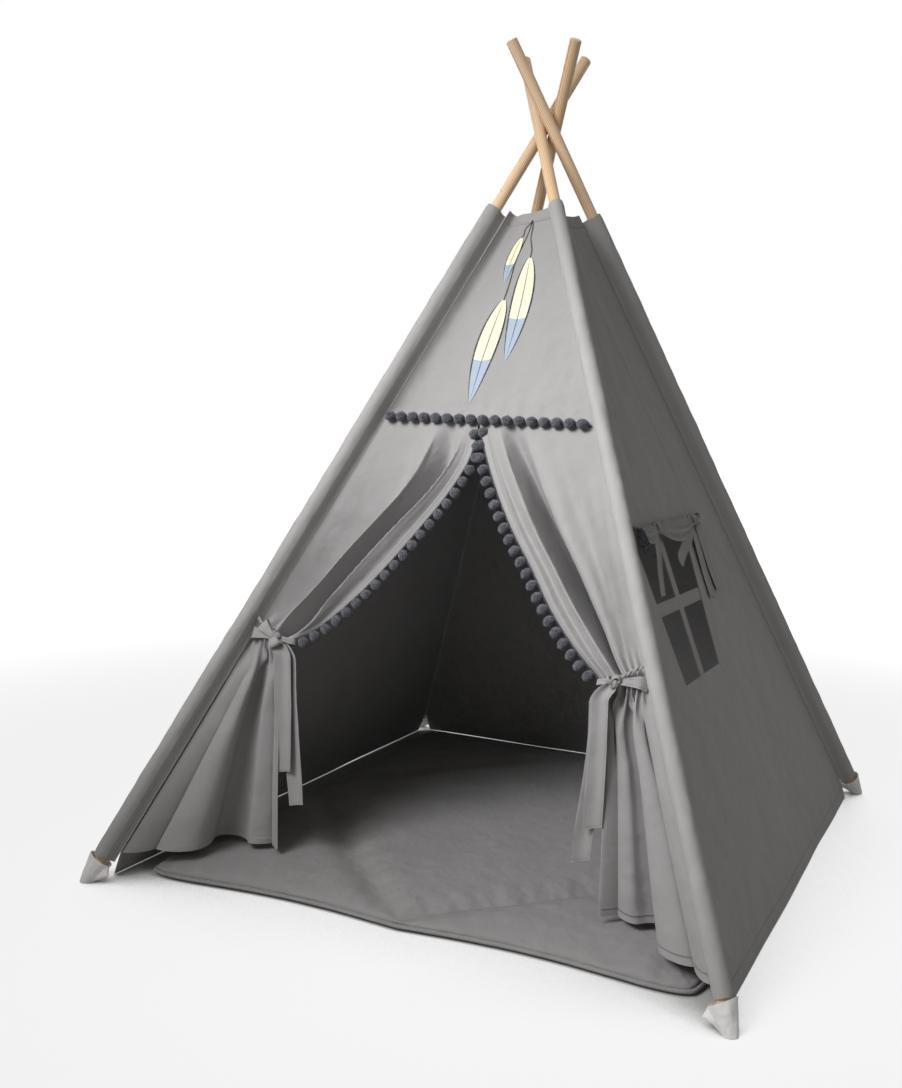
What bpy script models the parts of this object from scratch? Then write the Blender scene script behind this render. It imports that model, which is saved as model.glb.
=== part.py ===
"""Play tent: four crossed wooden poles, a cloth cover with a doorway and a window, and a quilted mat.

Frame: the origin is on the floor under the crossing of the poles, +Z is up, the doorway faces -Y
and the window wall faces +X. All sizes are in metres.
"""
import math

import bmesh
import bpy
from mathutils import Matrix, Vector

# Poles and their crossing
FOOT_SPAN = 1.20
CROSS_HEIGHT = 1.40
CROSS_OFFSET = 0.01716
POLE_LENGTH = 1.785
POLE_RADIUS = 0.011
POLE_END_ROUNDING = 0.002
POLE_SIDES = 16

# Foot caps
CAP_HEIGHT = 0.050
CAP_BOTTOM_RADIUS = 0.012
CAP_TOP_RADIUS = 0.023
CAP_FLOOR = 0.004

# Pole pockets, sewn along the corners of the cover
POCKET_CLOTH = 0.0024
POCKET_SLACK = 0.004
POCKET_FLAP = 0.024
POCKET_SEAM_THICKNESS = 0.003

# Cover
CLOTH = 0.0015
COVER_TOP = 1.245
TOP_DIP = 0.008
WALL_HEM = 0.006
CORNER_HEM = 0.048
CORNER_HEM_REACH = 0.022
WALL_SAG = 0.005
TRIM_HEIGHT = 0.848

# Window in the right wall: its edges lean, so each is given at the sill and at the head
WINDOW_SILL = 0.413
WINDOW_HEAD = 0.667
WINDOW_FRONT = (-0.228, -0.236)
WINDOW_REAR = (-0.012, 0.055)
WINDOW_BAR = 0.024
WINDOW_BAR_OVERLAP = 0.010
WINDOW_CORD_HEIGHT = 0.676
WINDOW_CORD_ENDS = (-0.245, 0.135)
WINDOW_CORD_RADIUS = 0.002
WINDOW_BUTTON_RADIUS = 0.0065

# Swag over the window: a strip of cloth tied up at its ends and at two places between them
SWAG_TIES = (-0.236, -0.125, 0.088, 0.126)
SWAG_DIPS = (0.029, 0.037, 0.019)
SWAG_TIED_DROP = 0.013
SWAG_FOLD = 0.002
SWAG_FOLDS = 7

# Ribbon ends hanging from the ties: along the wall at the top and at the foot, and their drop
RIBBON_WIDTH = 0.024
RIBBONS = {
    "window_ribbon_front": (-0.125, -0.197, 0.098),
    "window_ribbon_rear_short": (0.060, -0.018, 0.060),
    "window_ribbon_rear_inner": (0.087, 0.098, 0.132),
    "window_ribbon_rear_outer": (0.114, 0.150, 0.122),
}

# Doorway curtains
DOOR_SPLIT = -0.020
DOOR_TOP_GAP = 0.012
TIE_HEIGHT = 0.440
TIE_REACH = 0.310
EDGE_SAG = 0.035
CURTAIN_HEM = 0.046
CURTAIN_INNER_FOOT = 0.326
CURTAIN_FOLDS = 3
CURTAIN_ROWS = 14
FOLD_AT_TIE = 0.005
FOLD_AT_HEM = 0.020

# Pom-pom trims
POM_RADIUS = 0.0102
POM_PITCH = 0.0245
TRIM_CORD_RADIUS = 0.0017
POM_BITE = 0.0012
TRIM_START = 0.036
TRIM_END_MARGIN = 0.026
TRIM_SIDE_MARGIN = 0.016

# Tie-backs
BAND_HEIGHT = 0.018
BAND_THICKNESS = 0.002
BAND_ROOM = 0.0115
KNOT_RADIUS = 0.012
KNOT_INSET = 0.022
KNOT_FLATNESS = 0.8
TAIL_WIDTH = 0.038
TAIL_NECK = 0.015
TAIL_THICKNESS = 0.0012
TAIL_LENGTHS = (0.250, 0.295)
TAIL_PLACES = (0.310, 0.286)
TAIL_STEP = 0.004

# Floor mat
MAT_SIZE = 1.10
MAT_THICKNESS = 0.035
MAT_EDGE = 0.013
MAT_DRAW_IN = 0.028
MAT_MIDDLE_IN = 0.030
MAT_CHANNEL = 0.016
MAT_CHANNEL_WIDTH = 0.030
MAT_CORNER = 0.035
MAT_CELLS = 20
PIPING_RADIUS = 0.0035
PIPING_HEIGHT = 0.0075

# Room kept between pieces that touch
GAP = 0.0003

HALF_SPAN = FOOT_SPAN / 2
WALL_TILT = math.atan2(HALF_SPAN, CROSS_HEIGHT)
HALF_CORNER_ANGLE = math.acos(-math.sin(WALL_TILT) ** 2) / 2
CORNERS = {
    "front_left": (-1, -1),
    "front_right": (1, -1),
    "rear_right": (1, 1),
    "rear_left": (-1, 1),
}
WALL_CORNERS = {
    "front": ("front_left", "front_right"),
    "right": ("front_right", "rear_right"),
    "rear": ("rear_right", "rear_left"),
    "left": ("rear_left", "front_left"),
}
WALL_OUTWARD = {
    "front": Vector((0, -1, 0)),
    "right": Vector((1, 0, 0)),
    "rear": Vector((0, 1, 0)),
    "left": Vector((-1, 0, 0)),
}


def clear_scene():
    for item in list(bpy.data.objects):
        bpy.data.objects.remove(item, do_unlink=True)


def new_collection(name):
    made = bpy.data.collections.new(name)
    bpy.context.scene.collection.children.link(made)
    return made


def new_material(name, colour, roughness):
    made = bpy.data.materials.new(name)
    made.use_nodes = True
    shader = made.node_tree.nodes["Principled BSDF"]
    shader.inputs["Base Color"].default_value = (*colour, 1.0)
    shader.inputs["Roughness"].default_value = roughness
    shader.inputs["Metallic"].default_value = 0.0
    return made


clear_scene()
TENT = new_collection("play_tent")
CUTTERS = new_collection("cutters")

PINE = new_material("pine_pole", (0.72, 0.45, 0.24), 0.5)
GREY_CANVAS = new_material("grey_canvas", (0.30, 0.295, 0.29), 0.9)
POCKET_CANVAS = new_material("pocket_canvas", (0.27, 0.265, 0.26), 0.9)
CHARCOAL_WOOL = new_material("charcoal_wool", (0.045, 0.047, 0.062), 0.95)
WHITE_CAP = new_material("white_cap", (0.80, 0.80, 0.79), 0.6)
MAT_COTTON = new_material("mat_cotton", (0.30, 0.295, 0.295), 0.9)


# Places on the frame

def pole_point(corner, height):
    """The pole's axis at a height. Each pole passes the crossing a little to one side of the middle."""
    across, along = CORNERS[corner]
    foot = Vector((across * HALF_SPAN, along * HALF_SPAN, 0.0))
    aside = Vector((along, -across, 0.0)).normalized() * CROSS_OFFSET
    crossing = aside + Vector((0, 0, CROSS_HEIGHT))
    return foot.lerp(crossing, height / CROSS_HEIGHT)


def pole_direction(corner):
    return (pole_point(corner, CROSS_HEIGHT) - pole_point(corner, 0.0)).normalized()


def corner_frame(corner, height):
    """Axes at a corner: X outwards across the pole, Y round the tent, Z up the pole."""
    up_pole = pole_direction(corner)
    outward = Vector((*CORNERS[corner], 0.0)).normalized()
    outward = (outward - outward.dot(up_pole) * up_pole).normalized()
    around = up_pole.cross(outward)
    axes = Matrix((outward, around, up_pole)).transposed().to_4x4()
    return Matrix.Translation(pole_point(corner, height)) @ axes


def seam_point(corner, height):
    """The inner edge of the pole pocket, where the two neighbouring walls are sewn on."""
    outward = Vector((*CORNERS[corner], 0.0)).normalized()
    slope = pole_direction(corner).z
    return pole_point(corner, height) - outward * (POCKET_FLAP / slope)


def wall_normal(wall):
    tilted = WALL_OUTWARD[wall] * math.cos(WALL_TILT)
    return tilted + Vector((0, 0, math.sin(WALL_TILT)))


def wall_point(wall, share, height, out=0.0):
    """A point on a wall: share runs from one corner's seam to the next, out is its stand-off."""
    first, second = WALL_CORNERS[wall]
    start = seam_point(first, height)
    end = seam_point(second, height)
    along = (end - start).normalized()
    edge = POCKET_SEAM_THICKNESS / 2
    start = start + along * edge
    end = end - along * edge
    return start.lerp(end, share) + wall_normal(wall) * out


def wall_share(wall, place, height, axis):
    """The share along a wall at which it reaches a place along X or Y."""
    start = wall_point(wall, 0.0, height)[axis]
    end = wall_point(wall, 1.0, height)[axis]
    return (place - start) / (end - start)


def wall_sag(share, height):
    """How far the cloth hangs in between the poles."""
    rise = (height - WALL_HEM) / (COVER_TOP - WALL_HEM)
    return -WALL_SAG * math.sin(math.pi * share) * math.sin(math.pi * min(max(rise, 0.0), 1.0))


def front_point(across, height, out=0.0):
    return wall_point("front", wall_share("front", across, height, 0), height, out)


def right_point(along, height, out=0.0):
    """A point on the right wall's sagging cloth."""
    share = wall_share("right", along, height, 1)
    return wall_point("right", share, height, wall_sag(share, height) + out)


# Making pieces

def keep(item, name, finish, parent=None, collection=None):
    """Names a piece, gives it its material and puts it in its collection, on its pivot if it has one."""
    item.name = name
    item.data.name = name
    item.data.materials.clear()
    item.data.materials.append(finish)
    for holder in list(item.users_collection):
        holder.objects.unlink(item)
    (collection or TENT).objects.link(item)
    if parent:
        item.parent = parent
        item.matrix_parent_inverse = parent.matrix_world.inverted()
    return item


def keep_cutter(item, name):
    keep(item, name, WHITE_CAP, collection=CUTTERS)
    item.hide_render = True
    item.display_type = "WIRE"
    return item


def new_pivot(name, place, parent=None):
    pivot = bpy.data.objects.new(name, None)
    pivot.empty_display_size = 0.05
    pivot.location = place
    TENT.objects.link(pivot)
    if parent:
        pivot.parent = parent
        pivot.matrix_parent_inverse = parent.matrix_world.inverted()
    bpy.context.view_layer.update()
    return pivot


def add_boolean(item, other, operation):
    cut = item.modifiers.new(operation.lower(), "BOOLEAN")
    cut.operation = operation
    cut.object = other
    return cut


def smooth(item):
    item.data.shade_smooth()
    item.data.set_sharp_from_angle(angle=math.radians(35))


def flat_curve(name, outlines, half_depth):
    """A flat outline, with any further outline as a hole, given its depth along local Z."""
    curve = bpy.data.curves.new(name, "CURVE")
    curve.dimensions = "2D"
    curve.fill_mode = "BOTH"
    curve.extrude = half_depth
    for outline in outlines:
        spline = curve.splines.new("POLY")
        spline.points.add(len(outline) - 1)
        for point, (x, y) in zip(spline.points, outline):
            point.co = (x, y, 0.0, 1.0)
        spline.use_cyclic_u = True
    made = bpy.data.objects.new(name, curve)
    TENT.objects.link(made)
    return made


def tube(name, route, radius, resolution):
    curve = bpy.data.curves.new(name, "CURVE")
    curve.dimensions = "3D"
    curve.bevel_depth = radius
    curve.bevel_resolution = resolution
    curve.use_fill_caps = True
    spline = curve.splines.new("POLY")
    spline.points.add(len(route) - 1)
    for point, place in zip(spline.points, route):
        point.co = (*place, 1.0)
    made = bpy.data.objects.new(name, curve)
    TENT.objects.link(made)
    return made


def as_mesh(item):
    """Replaces a curve by its mesh, with the caps joined on."""
    bpy.context.view_layer.update()
    evaluated = item.evaluated_get(bpy.context.evaluated_depsgraph_get())
    mesh = bpy.data.meshes.new_from_object(evaluated)
    work = bmesh.new()
    work.from_mesh(mesh)
    bmesh.ops.remove_doubles(work, verts=work.verts, dist=0.00002)
    work.to_mesh(mesh)
    work.free()
    made = bpy.data.objects.new(item.name, mesh)
    TENT.objects.link(made)
    made.matrix_world = item.matrix_world.copy()
    bpy.data.objects.remove(item, do_unlink=True)
    return made


def cloth_sheet(name, columns, rows, place, finish, thickness=CLOTH, parent=None):
    """A sheet laid out by place(u, v), both from 0 to 1, with the cloth's thickness."""
    bpy.ops.mesh.primitive_grid_add(x_subdivisions=columns, y_subdivisions=rows, size=1.0)
    sheet = bpy.context.object
    for vertex in sheet.data.vertices:
        vertex.co = place(vertex.co.x + 0.5, vertex.co.y + 0.5)
    solid = sheet.modifiers.new("cloth", "SOLIDIFY")
    solid.thickness = thickness
    solid.offset = 0.0
    smooth(sheet)
    return keep(sheet, name, finish, parent)


def pom_cluster(name, centres, seats, radius):
    """Round pom-poms in one mesh, each turned so that its end point meets the cloth it sits on."""
    work = bmesh.new()
    for centre, seat in zip(centres, seats):
        turn = seat.to_track_quat("Z", "X").to_matrix().to_4x4()
        bmesh.ops.create_uvsphere(
            work, u_segments=8, v_segments=5, radius=radius, matrix=Matrix.Translation(centre) @ turn
        )
    mesh = bpy.data.meshes.new(name)
    work.to_mesh(mesh)
    work.free()
    made = bpy.data.objects.new(name, mesh)
    TENT.objects.link(made)
    return keep_cutter(made, name)


def pom_trim(name, centres, seats, route, parent=None):
    """Pom-poms on their cord, as one piece."""
    cord = as_mesh(tube(name, route, TRIM_CORD_RADIUS, 1))
    poms = pom_cluster(name + "_poms", centres, seats, POM_RADIUS)
    add_boolean(cord, poms, "UNION")
    smooth(cord)
    return keep(cord, name, CHARCOAL_WOOL, parent)


# Poles, caps and pockets

def make_pole(corner, parent):
    bpy.ops.mesh.primitive_cylinder_add(
        vertices=POLE_SIDES, radius=POLE_RADIUS, depth=POLE_LENGTH
    )
    pole = bpy.context.object
    low_end = pole_foot_height(corner)
    middle = low_end + pole_direction(corner).z * POLE_LENGTH / 2
    pole.matrix_world = corner_frame(corner, middle)
    rounding = pole.modifiers.new("rounded_ends", "BEVEL")
    rounding.width = POLE_END_ROUNDING
    rounding.segments = 2
    rounding.limit_method = "ANGLE"
    rounding.angle_limit = math.radians(60)
    smooth(pole)
    keep(pole, "pole_" + corner, PINE, parent)


def pole_foot_height(corner):
    """Height of the axis at the pole's low end, whose rim stays above the cap's floor."""
    lean = math.sqrt(1.0 - pole_direction(corner).z ** 2)
    return CAP_FLOOR + POLE_RADIUS * lean


def make_cap(corner, floor_cutter, parent):
    """A tapered boot on the pole's foot, cut flat at the floor."""
    below = 2 * CAP_BOTTOM_RADIUS
    bpy.ops.mesh.primitive_cone_add(
        vertices=24,
        radius1=CAP_BOTTOM_RADIUS,
        radius2=CAP_TOP_RADIUS,
        depth=CAP_HEIGHT + below,
    )
    cap = bpy.context.object
    middle = pole_direction(corner).z * (CAP_HEIGHT - below) / 2
    cap.matrix_world = corner_frame(corner, middle)

    bpy.ops.mesh.primitive_cylinder_add(
        vertices=POLE_SIDES, radius=POLE_RADIUS + GAP, depth=POLE_LENGTH
    )
    bore = bpy.context.object
    bore_start = pole_foot_height(corner) - GAP
    bore_middle = bore_start + pole_direction(corner).z * POLE_LENGTH / 2
    bore.matrix_world = corner_frame(corner, bore_middle)
    keep_cutter(bore, "bore_" + corner)

    add_boolean(cap, floor_cutter, "DIFFERENCE")
    add_boolean(cap, bore, "DIFFERENCE")
    smooth(cap)
    keep(cap, "foot_cap_" + corner, WHITE_CAP, parent)


def pocket_outline():
    """Section of the pole pocket: round the pole, and flat towards the seam."""
    skin = POLE_RADIUS + GAP + POCKET_CLOTH
    points = []
    steps = 12
    opening = math.radians(115)
    for step in range(steps + 1):
        angle = -opening + 2 * opening * step / steps
        reach = skin + POCKET_SLACK * max(0.0, math.cos(angle))
        points.append((reach * math.cos(angle), reach * math.sin(angle)))
    half_seam = POCKET_SEAM_THICKNESS / 2
    wall_edge = half_seam * math.cos(HALF_CORNER_ANGLE) - CLOTH / 2 * math.sin(HALF_CORNER_ANGLE)
    tip = -POCKET_FLAP - wall_edge + GAP
    points.append((tip, half_seam))
    points.append((tip, -half_seam))
    return points


def make_pocket(corner, parent):
    rise = pole_direction(corner).z
    bottom = rise * (CAP_HEIGHT + GAP)
    half_length = (COVER_TOP - bottom) / rise / 2
    bore_radius = POLE_RADIUS + GAP
    bore = [
        (
            bore_radius * math.cos(2 * math.pi * side / POLE_SIDES),
            bore_radius * math.sin(2 * math.pi * side / POLE_SIDES),
        )
        for side in range(POLE_SIDES)
    ]
    pocket = flat_curve("pocket_" + corner, [pocket_outline(), bore], half_length)
    pocket.matrix_world = corner_frame(corner, bottom + rise * half_length)
    keep(pocket, "pole_pocket_" + corner, POCKET_CANVAS, parent)


# Walls of the cover

def hem_height(wall, share):
    """The hem hangs low and rises to clear the foot caps at both corners."""
    width = (wall_point(wall, 1.0, WALL_HEM) - wall_point(wall, 0.0, WALL_HEM)).length
    to_corner = min(share, 1.0 - share) * width
    rise = max(0.0, 1.0 - to_corner / CORNER_HEM_REACH)
    return WALL_HEM + (CORNER_HEM - WALL_HEM) * rise


def wall_place(wall, low, sags):
    def place(u, v):
        share = 0.5 - 0.5 * math.cos(math.pi * u)
        bottom = low(share)
        top = COVER_TOP - TOP_DIP * math.sin(math.pi * share)
        height = bottom + v * (top - bottom)
        out = wall_sag(share, height) if sags else 0.0
        return wall_point(wall, share, height, out)

    return place


def make_wall(wall, parent=None):
    low = lambda share: hem_height(wall, share)
    return cloth_sheet(wall + "_wall", 12, 10, wall_place(wall, low, True), GREY_CANVAS, parent=parent)


def make_front_panel(parent):
    low = lambda share: TRIM_HEIGHT + GAP
    cloth_sheet("front_panel", 8, 6, wall_place("front", low, False), GREY_CANVAS, parent=parent)


# Window

def window_edge(edge, height):
    share = (height - WINDOW_SILL) / (WINDOW_HEAD - WINDOW_SILL)
    return edge[0] + share * (edge[1] - edge[0])


def window_bar_middle(height):
    return (window_edge(WINDOW_FRONT, height) + window_edge(WINDOW_REAR, height)) / 2


def cut_window(wall):
    """Cuts the opening, whose two upright edges lean."""
    bpy.ops.mesh.primitive_cube_add(size=1.0)
    block = bpy.context.object
    reach = 0.05
    for vertex in block.data.vertices:
        height = WINDOW_HEAD if vertex.co.z > 0 else WINDOW_SILL
        edge = WINDOW_REAR if vertex.co.y > 0 else WINDOW_FRONT
        side = 1 if vertex.co.x > 0 else -1
        along = window_edge(edge, height)
        vertex.co = (right_point(along, height).x + side * reach, along, height)
    add_boolean(wall, keep_cutter(block, "window_opening"), "DIFFERENCE")


def bar_runs():
    """Half of the cross: its upright's edge and its level's edge, as places along the wall and up it."""
    middle = (WINDOW_SILL + WINDOW_HEAD) / 2
    half = WINDOW_BAR / 2
    half_rise = half * math.cos(WALL_TILT)
    low = WINDOW_SILL - WINDOW_BAR_OVERLAP
    high = WINDOW_HEAD + WINDOW_BAR_OVERLAP
    heights = [low, middle - half_rise, middle + half_rise, high]
    ends = (
        lambda height: window_edge(WINDOW_FRONT, height) - WINDOW_BAR_OVERLAP,
        lambda height: window_bar_middle(height) - half,
        lambda height: window_bar_middle(height) + half,
        lambda height: window_edge(WINDOW_REAR, height) + WINDOW_BAR_OVERLAP,
    )
    return heights, ends


def make_window_cross():
    """Two strips crossing the opening, sewn on from inside."""
    heights, ends = bar_runs()
    out = -CLOTH - GAP - CLOTH * 0.1
    work = bmesh.new()
    grid = {}
    for row, height in enumerate(heights):
        for column, end in enumerate(ends):
            grid[row, column] = work.verts.new(right_point(end(height), height, out))
    for row in range(3):
        for column in range(3):
            if row == 1 or column == 1:
                corners = [(row, column), (row, column + 1), (row + 1, column + 1), (row + 1, column)]
                work.faces.new([grid[corner] for corner in corners])
    for vertex in [item for item in work.verts if not item.link_faces]:
        work.verts.remove(vertex)
    bmesh.ops.subdivide_edges(work, edges=work.edges, cuts=3, use_grid_fill=True)
    for vertex in work.verts:
        vertex.co = right_point(vertex.co.y, vertex.co.z, out)
    mesh = bpy.data.meshes.new("window_cross")
    work.to_mesh(mesh)
    work.free()
    cross = bpy.data.objects.new("window_cross", mesh)
    TENT.objects.link(cross)
    solid = cross.modifiers.new("cloth", "SOLIDIFY")
    solid.thickness = CLOTH
    solid.offset = 0.0
    smooth(cross)
    keep(cross, "window_cross", GREY_CANVAS)


def window_cord_out():
    return CLOTH / 2 + GAP + WINDOW_BUTTON_RADIUS


def make_window_cord():
    """The cord that the swag hangs on, with a woollen button at each end."""
    out = window_cord_out()
    steps = 8
    length = WINDOW_CORD_ENDS[1] - WINDOW_CORD_ENDS[0]
    route = [
        right_point(WINDOW_CORD_ENDS[0] + length * step / steps, WINDOW_CORD_HEIGHT, out)
        for step in range(steps + 1)
    ]
    cord = as_mesh(tube("window_cord", route, WINDOW_CORD_RADIUS, 1))
    seats = [-wall_normal("right")] * 2
    buttons = pom_cluster("window_buttons", [route[0], route[-1]], seats, WINDOW_BUTTON_RADIUS)
    add_boolean(cord, buttons, "UNION")
    smooth(cord)
    keep(cord, "window_cord", CHARCOAL_WOOL)


def swag_drop(along):
    """How far the swag hangs below its cord."""
    for start, end, dip in zip(SWAG_TIES, SWAG_TIES[1:], SWAG_DIPS):
        if along <= end:
            hang = math.sin(math.pi * max(0.0, along - start) / (end - start))
            return SWAG_TIED_DROP + (dip - SWAG_TIED_DROP) * hang
    return SWAG_TIED_DROP


def swag_top():
    return WINDOW_CORD_HEIGHT - (WINDOW_CORD_RADIUS + GAP) * math.cos(WALL_TILT)


def make_swag():
    """The gathered strip of cloth that hangs on the cord."""
    def place(u, v):
        along = SWAG_TIES[0] + (SWAG_TIES[-1] - SWAG_TIES[0]) * u
        ripple = SWAG_FOLD * math.sin(2 * math.pi * SWAG_FOLDS * u)
        return right_point(along, swag_top() - (1.0 - v) * swag_drop(along), window_cord_out() + ripple)

    cloth_sheet("window_swag", 56, 2, place, GREY_CANVAS, TAIL_THICKNESS)


def make_ribbon(name, top_along, foot_along, drop):
    """A ribbon end that lies against the wall, from just under the swag."""
    def place(u, v):
        beside = (u - 0.5) * RIBBON_WIDTH
        top = swag_top() - swag_drop(top_along + beside) - GAP
        fall = 1.0 - v
        along = top_along + (foot_along - top_along) * fall + beside
        return right_point(along, top - fall * drop, window_cord_out())

    cloth_sheet(name, 4, 5, place, GREY_CANVAS, TAIL_THICKNESS)


def make_window_dressing():
    make_swag()
    for name, (top_along, foot_along, drop) in RIBBONS.items():
        make_ribbon(name, top_along, foot_along, drop)


# Doorway curtains

def curtain_ends(side, share):
    """Top, tie and hem points of one strand of the curtain, share 0 at the seam and 1 at its free edge."""
    corner = "front_right" if side > 0 else "front_left"
    seam_share = 1.0 if side > 0 else 0.0
    top_height = TRIM_HEIGHT - GAP
    top_seam = wall_point("front", seam_share, top_height)
    top_free = front_point(DOOR_SPLIT + side * DOOR_TOP_GAP, top_height)
    tie_seam = wall_point("front", seam_share, TIE_HEIGHT)
    tie_free = front_point(side * TIE_REACH, TIE_HEIGHT)
    hem_seam = wall_point("front", seam_share, CORNER_HEM)
    hem_free = Vector((side * CURTAIN_INNER_FOOT, tie_free.y, CURTAIN_HEM))
    hem = hem_seam.lerp(hem_free, share)
    hem_drop = min(1.0, share * (hem_free - hem_seam).length / CORNER_HEM_REACH)
    hem.z = CORNER_HEM + (CURTAIN_HEM - CORNER_HEM) * hem_drop
    return top_seam.lerp(top_free, share), tie_seam.lerp(tie_free, share), hem


def curtain_base(side, share, fall):
    """The curtain without its folds. Fall is 0 at the top, 1 at the tie and 2 at the hem."""
    top, tie, hem = curtain_ends(side, share)
    if fall > 1.0:
        return tie.lerp(hem, fall - 1.0)
    pull = Vector((-side * 2 * EDGE_SAG * share, 0, 0))
    middle = (top + tie) / 2 + pull
    return top.lerp(middle, fall).lerp(middle.lerp(tie, fall), fall)


def curtain_point(side, share, fall):
    if fall > 1.0:
        depth = FOLD_AT_TIE + (FOLD_AT_HEM - FOLD_AT_TIE) * (fall - 1.0)
    else:
        depth = FOLD_AT_TIE * math.sin(fall * math.pi / 2)
    ripple = depth * math.sin(2 * math.pi * CURTAIN_FOLDS * share)
    return curtain_base(side, share, fall) + wall_normal("front") * ripple


def make_curtain(side, word, parent):
    def place(u, v):
        return curtain_point(side, u, 2.0 * (1.0 - v))

    cloth_sheet("curtain_" + word, 6 * CURTAIN_FOLDS, CURTAIN_ROWS, place, GREY_CANVAS, parent=parent)


def free_edge(side):
    """The free edge from the top of the doorway to the tie, at the curtain's rows."""
    steps = CURTAIN_ROWS // 2
    return [curtain_base(side, 1.0, step / steps) for step in range(steps + 1)]


def walk(route, distance):
    """The place and direction at a distance along a run of points."""
    for start, end in zip(route, route[1:]):
        length = (end - start).length
        if distance <= length:
            return start.lerp(end, distance / length), (end - start).normalized()
        distance -= length
    return route[-1], (route[-1] - route[-2]).normalized()


def beside(route, distance, side, aside):
    """A place set off from the free edge towards the doorway, and the way back to the edge."""
    place, forward = walk(route, distance)
    inward = forward.cross(wall_normal("front")) * side
    return place + inward * aside, -inward


def make_curtain_trim(side, word, parent):
    """Pom-poms sewn along the free edge, from under the panel to the tie."""
    route = free_edge(side)
    corners = [0.0]
    for start, end in zip(route, route[1:]):
        corners.append(corners[-1] + (end - start).length)
    last = corners[-1] - TRIM_END_MARGIN
    count = 1 + int((last - TRIM_START) / POM_PITCH)
    cord_aside = TRIM_CORD_RADIUS + GAP
    pom_aside = cord_aside + TRIM_CORD_RADIUS + POM_RADIUS - POM_BITE
    stops = [TRIM_START + index * POM_PITCH for index in range(count)]
    placed = [beside(route, stop, side, pom_aside) for stop in stops]
    cord_start = TRIM_START - POM_RADIUS
    cord_end = stops[-1] + POM_RADIUS
    bends = [stop for stop in corners if cord_start < stop < cord_end]
    cord = [beside(route, stop, side, cord_aside)[0] for stop in (cord_start, *bends, cord_end)]
    centres = [place for place, seat in placed]
    seats = [seat for place, seat in placed]
    pom_trim("curtain_trim_" + word, centres, seats, cord, parent)


def make_front_trim(parent):
    """The level trim that covers the seam over the doorway."""
    out = CLOTH / 2 + GAP + POM_RADIUS
    low = wall_point("front", 0.0, TRIM_HEIGHT).x + TRIM_SIDE_MARGIN
    high = wall_point("front", 1.0, TRIM_HEIGHT).x - TRIM_SIDE_MARGIN
    count = 1 + int((high - low) / POM_PITCH)
    start = (low + high) / 2 - (count - 1) * POM_PITCH / 2
    centres = [front_point(start + index * POM_PITCH, TRIM_HEIGHT, out) for index in range(count)]
    seats = [-wall_normal("front")] * count
    reach = Vector((POM_RADIUS + 0.003, 0, 0))
    pom_trim("front_trim", centres, seats, [centres[0] - reach, centres[-1] + reach], parent)


# Tie-backs

def tie_start(side):
    return wall_point("front", 1.0 if side > 0 else 0.0, TIE_HEIGHT)


def tie_frame(side):
    """Slanting axes at the pocket: X to the doorway, Y out of the front, Z up along the pocket."""
    corner = "front_right" if side > 0 else "front_left"
    axes = Matrix((Vector((-side, 0, 0)), wall_normal("front"), pole_direction(corner)))
    return Matrix.Translation(tie_start(side)) @ axes.transposed().to_4x4()


def band_length(side):
    """From the pocket to the gathered cloth's free edge."""
    return abs(tie_start(side).x) - TIE_REACH


def pocket_side(side, stand_off):
    """How far towards the doorway the pocket's side lies at a stand-off from the front."""
    corner = "front_right" if side > 0 else "front_left"
    outline = [(x, side * -y) for x, y in pocket_outline()]
    into_band = tie_frame(side).inverted() @ corner_frame(corner, TIE_HEIGHT)
    near = into_band @ Vector((*outline[-2], 0))
    far = into_band @ Vector((*outline[-3], 0))
    share = (stand_off - near.y) / (far.y - near.y)
    slant = (far - near).xy.normalized().y
    return near.x + share * (far.x - near.x) + GAP / slant


def band_outline(side):
    """A band from the pocket's side round the gathered cloth and back to the seam."""
    length = band_length(side)
    steps = 8
    outer = []
    inner = []
    for step in range(steps + 1):
        angle = math.pi / 2 - math.pi * step / steps
        turn = Vector((math.cos(angle), math.sin(angle)))
        outer.append((length + BAND_ROOM * turn.x, (BAND_ROOM + BAND_THICKNESS) * turn.y))
        inner.append((length + (BAND_ROOM - BAND_THICKNESS) * turn.x, BAND_ROOM * turn.y))
    front_end = pocket_side(side, BAND_ROOM)
    back_end = 0.0
    ends_outer = (front_end, BAND_ROOM + BAND_THICKNESS), (back_end, -BAND_ROOM - BAND_THICKNESS)
    ends_inner = (back_end, -BAND_ROOM), (front_end, BAND_ROOM)
    return [ends_outer[0], *outer, ends_outer[1], ends_inner[0], *inner[::-1], ends_inner[1]]


def knot_centre(side):
    out = BAND_ROOM + BAND_THICKNESS + KNOT_RADIUS * 0.45
    return tie_frame(side) @ Vector((band_length(side) - KNOT_INSET, out, 0))


def make_tie_band(side, word, parent):
    band = as_mesh(flat_curve("tie_band_" + word, [band_outline(side)], BAND_HEIGHT / 2))
    band.data.transform(tie_frame(side))
    if side > 0:
        band.data.flip_normals()
    bpy.ops.mesh.primitive_uv_sphere_add(
        segments=12,
        ring_count=8,
        radius=KNOT_RADIUS,
        location=knot_centre(side),
        scale=(1.0, KNOT_FLATNESS, 1.0),
    )
    knot = keep_cutter(bpy.context.object, "knot_" + word)
    add_boolean(band, knot, "UNION")
    smooth(band)
    keep(band, "tie_band_" + word, GREY_CANVAS, parent)


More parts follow.
